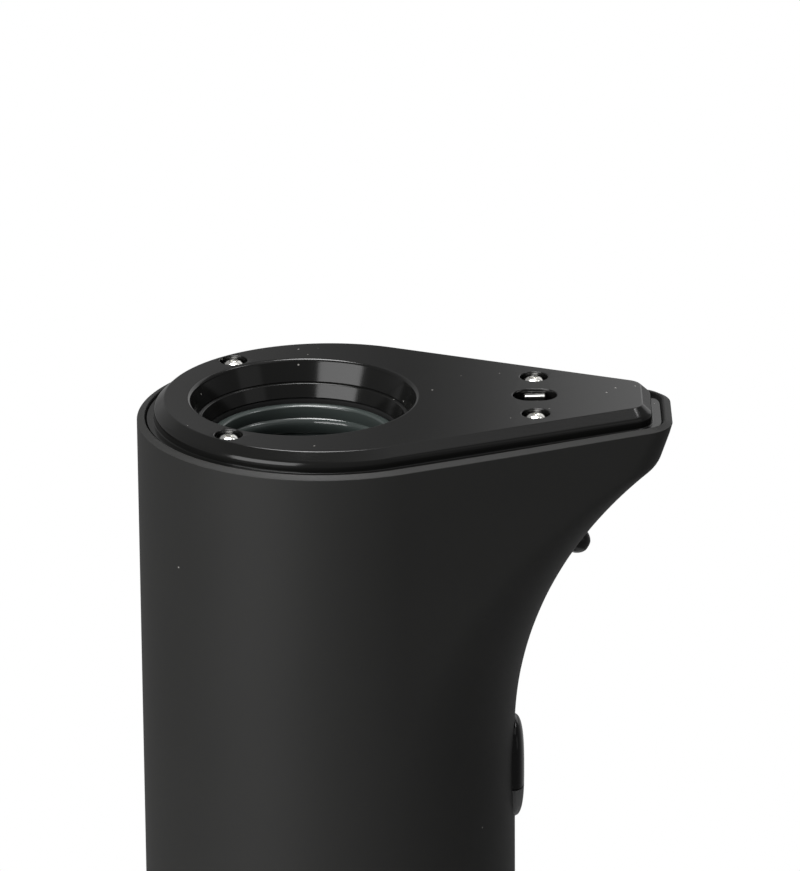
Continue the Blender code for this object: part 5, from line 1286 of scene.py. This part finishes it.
# Battery box: a grey ABS well for four upright cells under the chassis, with nickel-plated contacts above
# them. The cells are steel cans in a printed sleeve, plain here but for a pale band.
CELL_SPAN = (0.0105, 0.0610)
CELL_STEEL = (*ZINC, 1)
SLEEVE_BLUE = (0.030, 0.045, 0.060, 1)
SLEEVE_PALE = (0.42, 0.43, 0.44, 1)
BARE_ENDS = 0.045
PALE_BAND = (0.70, 0.76)


def ramp(tree, share, stops, interpolation="LINEAR"):
    """A colour ramp through these (place, colour) stops, the first of them at 0."""
    made = node(tree, "ShaderNodeValToRGB", {"Fac": share})
    made.color_ramp.interpolation = interpolation
    elements = made.color_ramp.elements
    for place_at, colour in stops:
        stop = elements[0] if place_at == 0 else elements.new(place_at)
        stop.position, stop.color = place_at, colour
    elements.remove(elements[-1])
    return made.outputs["Color"]


cell_sleeve, tree, shader = new_finish("cell_sleeve")
skin = node(tree, "ShaderNodeGroup", node_tree=grain)
feed(tree, skin, {"Grain Size": 1200.0})
height = node(tree, "ShaderNodeSeparateXYZ", {"Vector": own_spot(tree)}).outputs["Z"]
share = ranged(tree, height, CELL_SPAN)
bands = (
    (0.0, CELL_STEEL),
    (BARE_ENDS, SLEEVE_BLUE),
    (PALE_BAND[0], SLEEVE_PALE),
    (PALE_BAND[1], SLEEVE_BLUE),
    (1 - BARE_ENDS, CELL_STEEL),
)
from_middle = sum_of(tree, "ABSOLUTE", sum_of(tree, "SUBTRACT", share, 0.5))
looks = {
    "Base Color": ramp(tree, share, bands, "CONSTANT"),
    "Metallic": sum_of(tree, "GREATER_THAN", from_middle, 0.5 - BARE_ENDS),
    "Roughness": ranged(tree, skin.outputs["Flow"], end=(0.24, 0.36)),
}
feed(tree, shader, looks)
dress(cell_sleeve, "cell_sleeve", *[f"battery_cell_{number}" for number in (1, 2, 3, 4)])
dress(grey_abs, "grey_abs", "battery_box")
dress(bright_nickel, "bright_nickel", "contact_top_bridge", "contact_top_minus", "contact_top_plus")


# Base: a twist-off battery cover in the shell's satin black, with a spigot, three bayonet lugs and a raised
# boss for its contacts. A rubber ring seals it, and a ribbed rubber foot is glued under it.
COVER_RADIUS = 0.0369
COVER_SPAN = (0.0010, 0.0040)
COVER_EDGE = 0.0005
COVER_PLAY = 0.0003
COVER_STEPS = 160
FOOT_RADIUS = 0.0330
FOOT_SEAT = 0.0023
FOOT_THICK = 0.0020
FOOT_EDGE = 0.0005
FOOT_HOLLOW = (0.0060, 0.0180, 0.0184)
FOOT_GROOVES = (0.0240, 0.0280)
GROOVE_DEPTH = 0.0004
GROOVE_HALVES = (0.0005, 0.0003)
SEAL_BAND = (0.0337, 0.0353)
SEAL_GROOVE = 0.0027
SEAL_EDGE = 0.0004
SPIGOT = (0.0290, 0.0312)
SPIGOT_TOP = 0.0093
SPIGOT_EDGE = 0.0003
BOSS_RADIUS = 0.0205
LUG_REACH = 0.0336
LUG_FOOT = 0.0073
LUG_WIDTH = math.radians(22.0)
LUG_ROOT = 0.0008
LUG_COUNT = 3
LUG_STEPS = 12


def rounded(profile, corner, edge, before, after):
    """Adds a corner to a profile with its edge rounded off."""
    corner, before, after = Vector(corner), Vector(before), Vector(after)
    first = corner + (before - corner).normalized() * edge
    last = corner + (after - corner).normalized() * edge
    profile += [point[:] for point in bend(first, corner, last, steps=4)]


low, high = COVER_SPAN
spigot_inner, spigot_outer = SPIGOT
recess_radius = FOOT_RADIUS + COVER_PLAY
seal_inner, seal_outer = SEAL_BAND
cover = [(recess_radius, FOOT_SEAT), (recess_radius, low)]
rounded(cover, (COVER_RADIUS, low), COVER_EDGE, (FOOT_RADIUS, low), (COVER_RADIUS, high))
rounded(cover, (COVER_RADIUS, high), COVER_EDGE, (COVER_RADIUS, low), (FOOT_RADIUS, high))
cover += [(seal_outer + COVER_PLAY, high), (seal_outer + COVER_PLAY, SEAL_GROOVE)]
cover += [(seal_inner - COVER_PLAY, SEAL_GROOVE), (seal_inner - COVER_PLAY, high), (spigot_outer, high)]
spigot_corners = ((spigot_outer, SPIGOT_TOP), (spigot_inner, SPIGOT_TOP))
rounded(cover, spigot_corners[0], SPIGOT_EDGE, (spigot_outer, high), spigot_corners[1])
rounded(cover, spigot_corners[1], SPIGOT_EDGE, spigot_corners[0], (spigot_inner, high))
cover += [(spigot_inner, high), (BOSS_RADIUS, high)]
rounded(cover, (BOSS_RADIUS, SPIGOT_TOP), SPIGOT_EDGE, (BOSS_RADIUS, high), (0, SPIGOT_TOP))
cover_piece = turned_piece("cover_moulding", cover, satin_black, COVER_STEPS)
lugs = bmesh.new()
spread = [LUG_WIDTH * (share - 0.5) for share in shares(LUG_STEPS)]
for number in range(LUG_COUNT):
    middle = 2 * math.pi * number / LUG_COUNT
    rows = []
    for rise in (LUG_FOOT, SPIGOT_TOP):
        arcs = [heading(middle + angle) * LUG_REACH for angle in spread]
        arcs += [heading(middle + angle) * (spigot_outer - LUG_ROOT) for angle in spread[::-1]]
        rows.append([lugs.verts.new((point.x, point.y, rise)) for point in arcs])
    strips(lugs, rows, loop=False, capped=True)
lug_piece = shown("cover_lugs", lugs, satin_black)
hollow, hollow_edge, hollow_foot = FOOT_HOLLOW
half_width, half_floor = GROOVE_HALVES
foot = [(hollow, GROOVE_DEPTH), (hollow_edge, GROOVE_DEPTH), (hollow_foot, 0)]
for groove in FOOT_GROOVES:
    foot += [(groove - half_width, 0), (groove - half_floor, GROOVE_DEPTH)]
    foot += [(groove + half_floor, GROOVE_DEPTH), (groove + half_width, 0)]
rounded(foot, (FOOT_RADIUS, 0), FOOT_EDGE, (FOOT_GROOVES[-1], 0), (FOOT_RADIUS, FOOT_THICK))
foot.append((FOOT_RADIUS, FOOT_THICK))
foot_piece = turned_piece("foot_ring", foot, black_rubber, COVER_STEPS)
seal_low = SEAL_GROOVE + COVER_PLAY
seal_piece = turned_ring("cover_seal", seal_inner, seal_outer, seal_low, high, SEAL_EDGE, black_rubber)
for piece, replaced, slot in (
    (cover_piece, "battery_cover", "satin_black_abs"),
    (lug_piece, "battery_cover", "satin_black_abs"),
    (foot_piece, "foot_pad", "black_rubber"),
    (seal_piece, "battery_seal", "black_rubber"),
):
    fitted(piece, slot, "base_cover", replaced)
dress(bright_nickel, "bright_nickel", "contact_base_right", "contact_base_left")


# Stage: a small pale floor under the foot and soft studio lamps. The world is white for the camera and for
# glass, and grey for gloss, as in a dark studio, with a plain level of light for everything else.
FLOOR_RADIUS = 0.19
FLOOR_DROP = 0.0002
FLOOR_FADE = (0.45, 0.97)
FLOOR_WHITE = (0.86, 0.86, 0.86, 1)
WHITE = (1, 1, 1, 1)
BLACK = (0, 0, 0, 1)
GLOSS_LEVEL = 0.15
ROOM_LIGHT = 0.15

floor = bmesh.new()
bmesh.ops.create_circle(floor, cap_ends=True, segments=96, radius=FLOOR_RADIUS)
floor_piece = linked("floor", mesh_data("floor", floor))
floor_piece.location.z = -FLOOR_DROP
paper, tree, shader = new_finish("floor_paper")
far = node(tree, "ShaderNodeVectorMath", {0: own_spot(tree)}, operation="LENGTH").outputs["Value"]
edges = [FLOOR_RADIUS * share for share in FLOOR_FADE]
fade = ranged(tree, far, edges, (1.0, 0.0), interpolation_type="SMOOTHSTEP")
from_below = node(tree, "ShaderNodeNewGeometry").outputs["Backfacing"]
seen = sum_of(tree, "MULTIPLY", fade, sum_of(tree, "SUBTRACT", 1.0, from_below))
feed(tree, shader, {"Base Color": FLOOR_WHITE, "Roughness": 0.8, "Alpha": seen})
floor_piece.data.materials.append(paper)

world = bpy.data.worlds.new("studio")
bpy.context.scene.world = world
world.use_nodes = True
tree = world.node_tree
tree.nodes.clear()
rays = node(tree, "ShaderNodeLightPath").outputs
seen = rays["Is Camera Ray"]
for kind, share in (("Is Transmission Ray", 1.0), ("Is Glossy Ray", GLOSS_LEVEL)):
    seen = sum_of(tree, "MAXIMUM", seen, sum_of(tree, "MULTIPLY", rays[kind], share))
levels = []
for strength in (ROOM_LIGHT, 1.0):
    lit = node(tree, "ShaderNodeBackground", {"Color": WHITE, "Strength": strength})
    levels.append(lit.outputs["Background"])
both = node(tree, "ShaderNodeMixShader", {0: seen, 1: levels[0], 2: levels[1]})
node(tree, "ShaderNodeOutputWorld", {"Surface": both.outputs["Shader"]})

# Three graded cards, out of the camera's sight, are what the gloss deck mirrors: one stands behind the
# object, and a wide dim one and a narrow bright one hang over it. Each is graded from left to right.
CARDS = (
    (
        "back_card",
        ((-0.9, 0.8, 0.24), (0.9, 0.8, 0.24), (0.9, 0.8, 0.95), (-0.9, 0.8, 0.95)),
        (-0.10, 0.12),
        1.0,
        ((0.0, 0.36), (0.30, 0.26), (0.52, 0.11), (0.62, 0.20), (0.78, 0.55), (1.0, 0.80)),
    ),
    (
        "top_card",
        ((-1.0, -1.0, 1.35), (1.0, -1.0, 1.35), (1.0, 0.8, 1.35), (-1.0, 0.8, 1.35)),
        (-0.20, 0.70),
        1.0,
        ((0.0, 0.20), (0.30, 0.40), (1.0, 1.00)),
    ),
    (
        "strip_card",
        ((-0.45, -0.02, 1.32), (0.85, -0.02, 1.32), (0.85, 0.40, 1.32), (-0.45, 0.40, 1.32)),
        (-0.45, 0.85),
        14.0,
        ((0.0, 0.5), (0.30, 1.0), (0.42, 0.55), (0.56, 0.10), (0.80, 0.0), (1.0, 0.0)),
    ),
)
for name, corners, span, strength, stops in CARDS:
    card = bmesh.new()
    card.faces.new([card.verts.new(point) for point in corners][::-1])
    card_piece = linked(name, mesh_data(name, card))
    for kind in ("camera", "diffuse", "shadow", "transmission"):
        setattr(card_piece, f"visible_{kind}", False)
    graded, tree, shader = new_finish(name)
    along = node(tree, "ShaderNodeSeparateXYZ", {"Vector": own_spot(tree)}).outputs["X"]
    greys = [(place_at, (level, level, level, 1)) for place_at, level in stops]
    looks = {
        "Base Color": BLACK,
        "Specular IOR Level": 0,
        "Emission Strength": strength,
        "Emission Color": ramp(tree, ranged(tree, along, span), greys),
    }
    feed(tree, shader, looks)
    card_piece.data.materials.append(graded)

# Three soft boxes, each aimed at the middle of the object: (name, place, size, power).
LAMPS = (
    ("key_softbox", (-0.72, -0.85, 0.35), 0.95, 17.5),
    ("top_softbox", (-0.10, 0.15, 1.30), 0.62, 14.0),
    ("fill_softbox", (0.95, -0.55, 0.45), 0.50, 0.3),
)
LAMP_AIM = Vector((0, 0, 0.14))
for name, spot, size, power in LAMPS:
    lamp = linked(name, bpy.data.lights.new(name, "AREA"))
    lamp.data.size = size
    lamp.data.energy = power
    lamp.location = spot
    lamp.rotation_mode = "QUATERNION"
    lamp.rotation_quaternion = (LAMP_AIM - Vector(spot)).to_track_quat("-Z", "Y")

bpy.context.scene.view_settings.view_transform = "Standard"
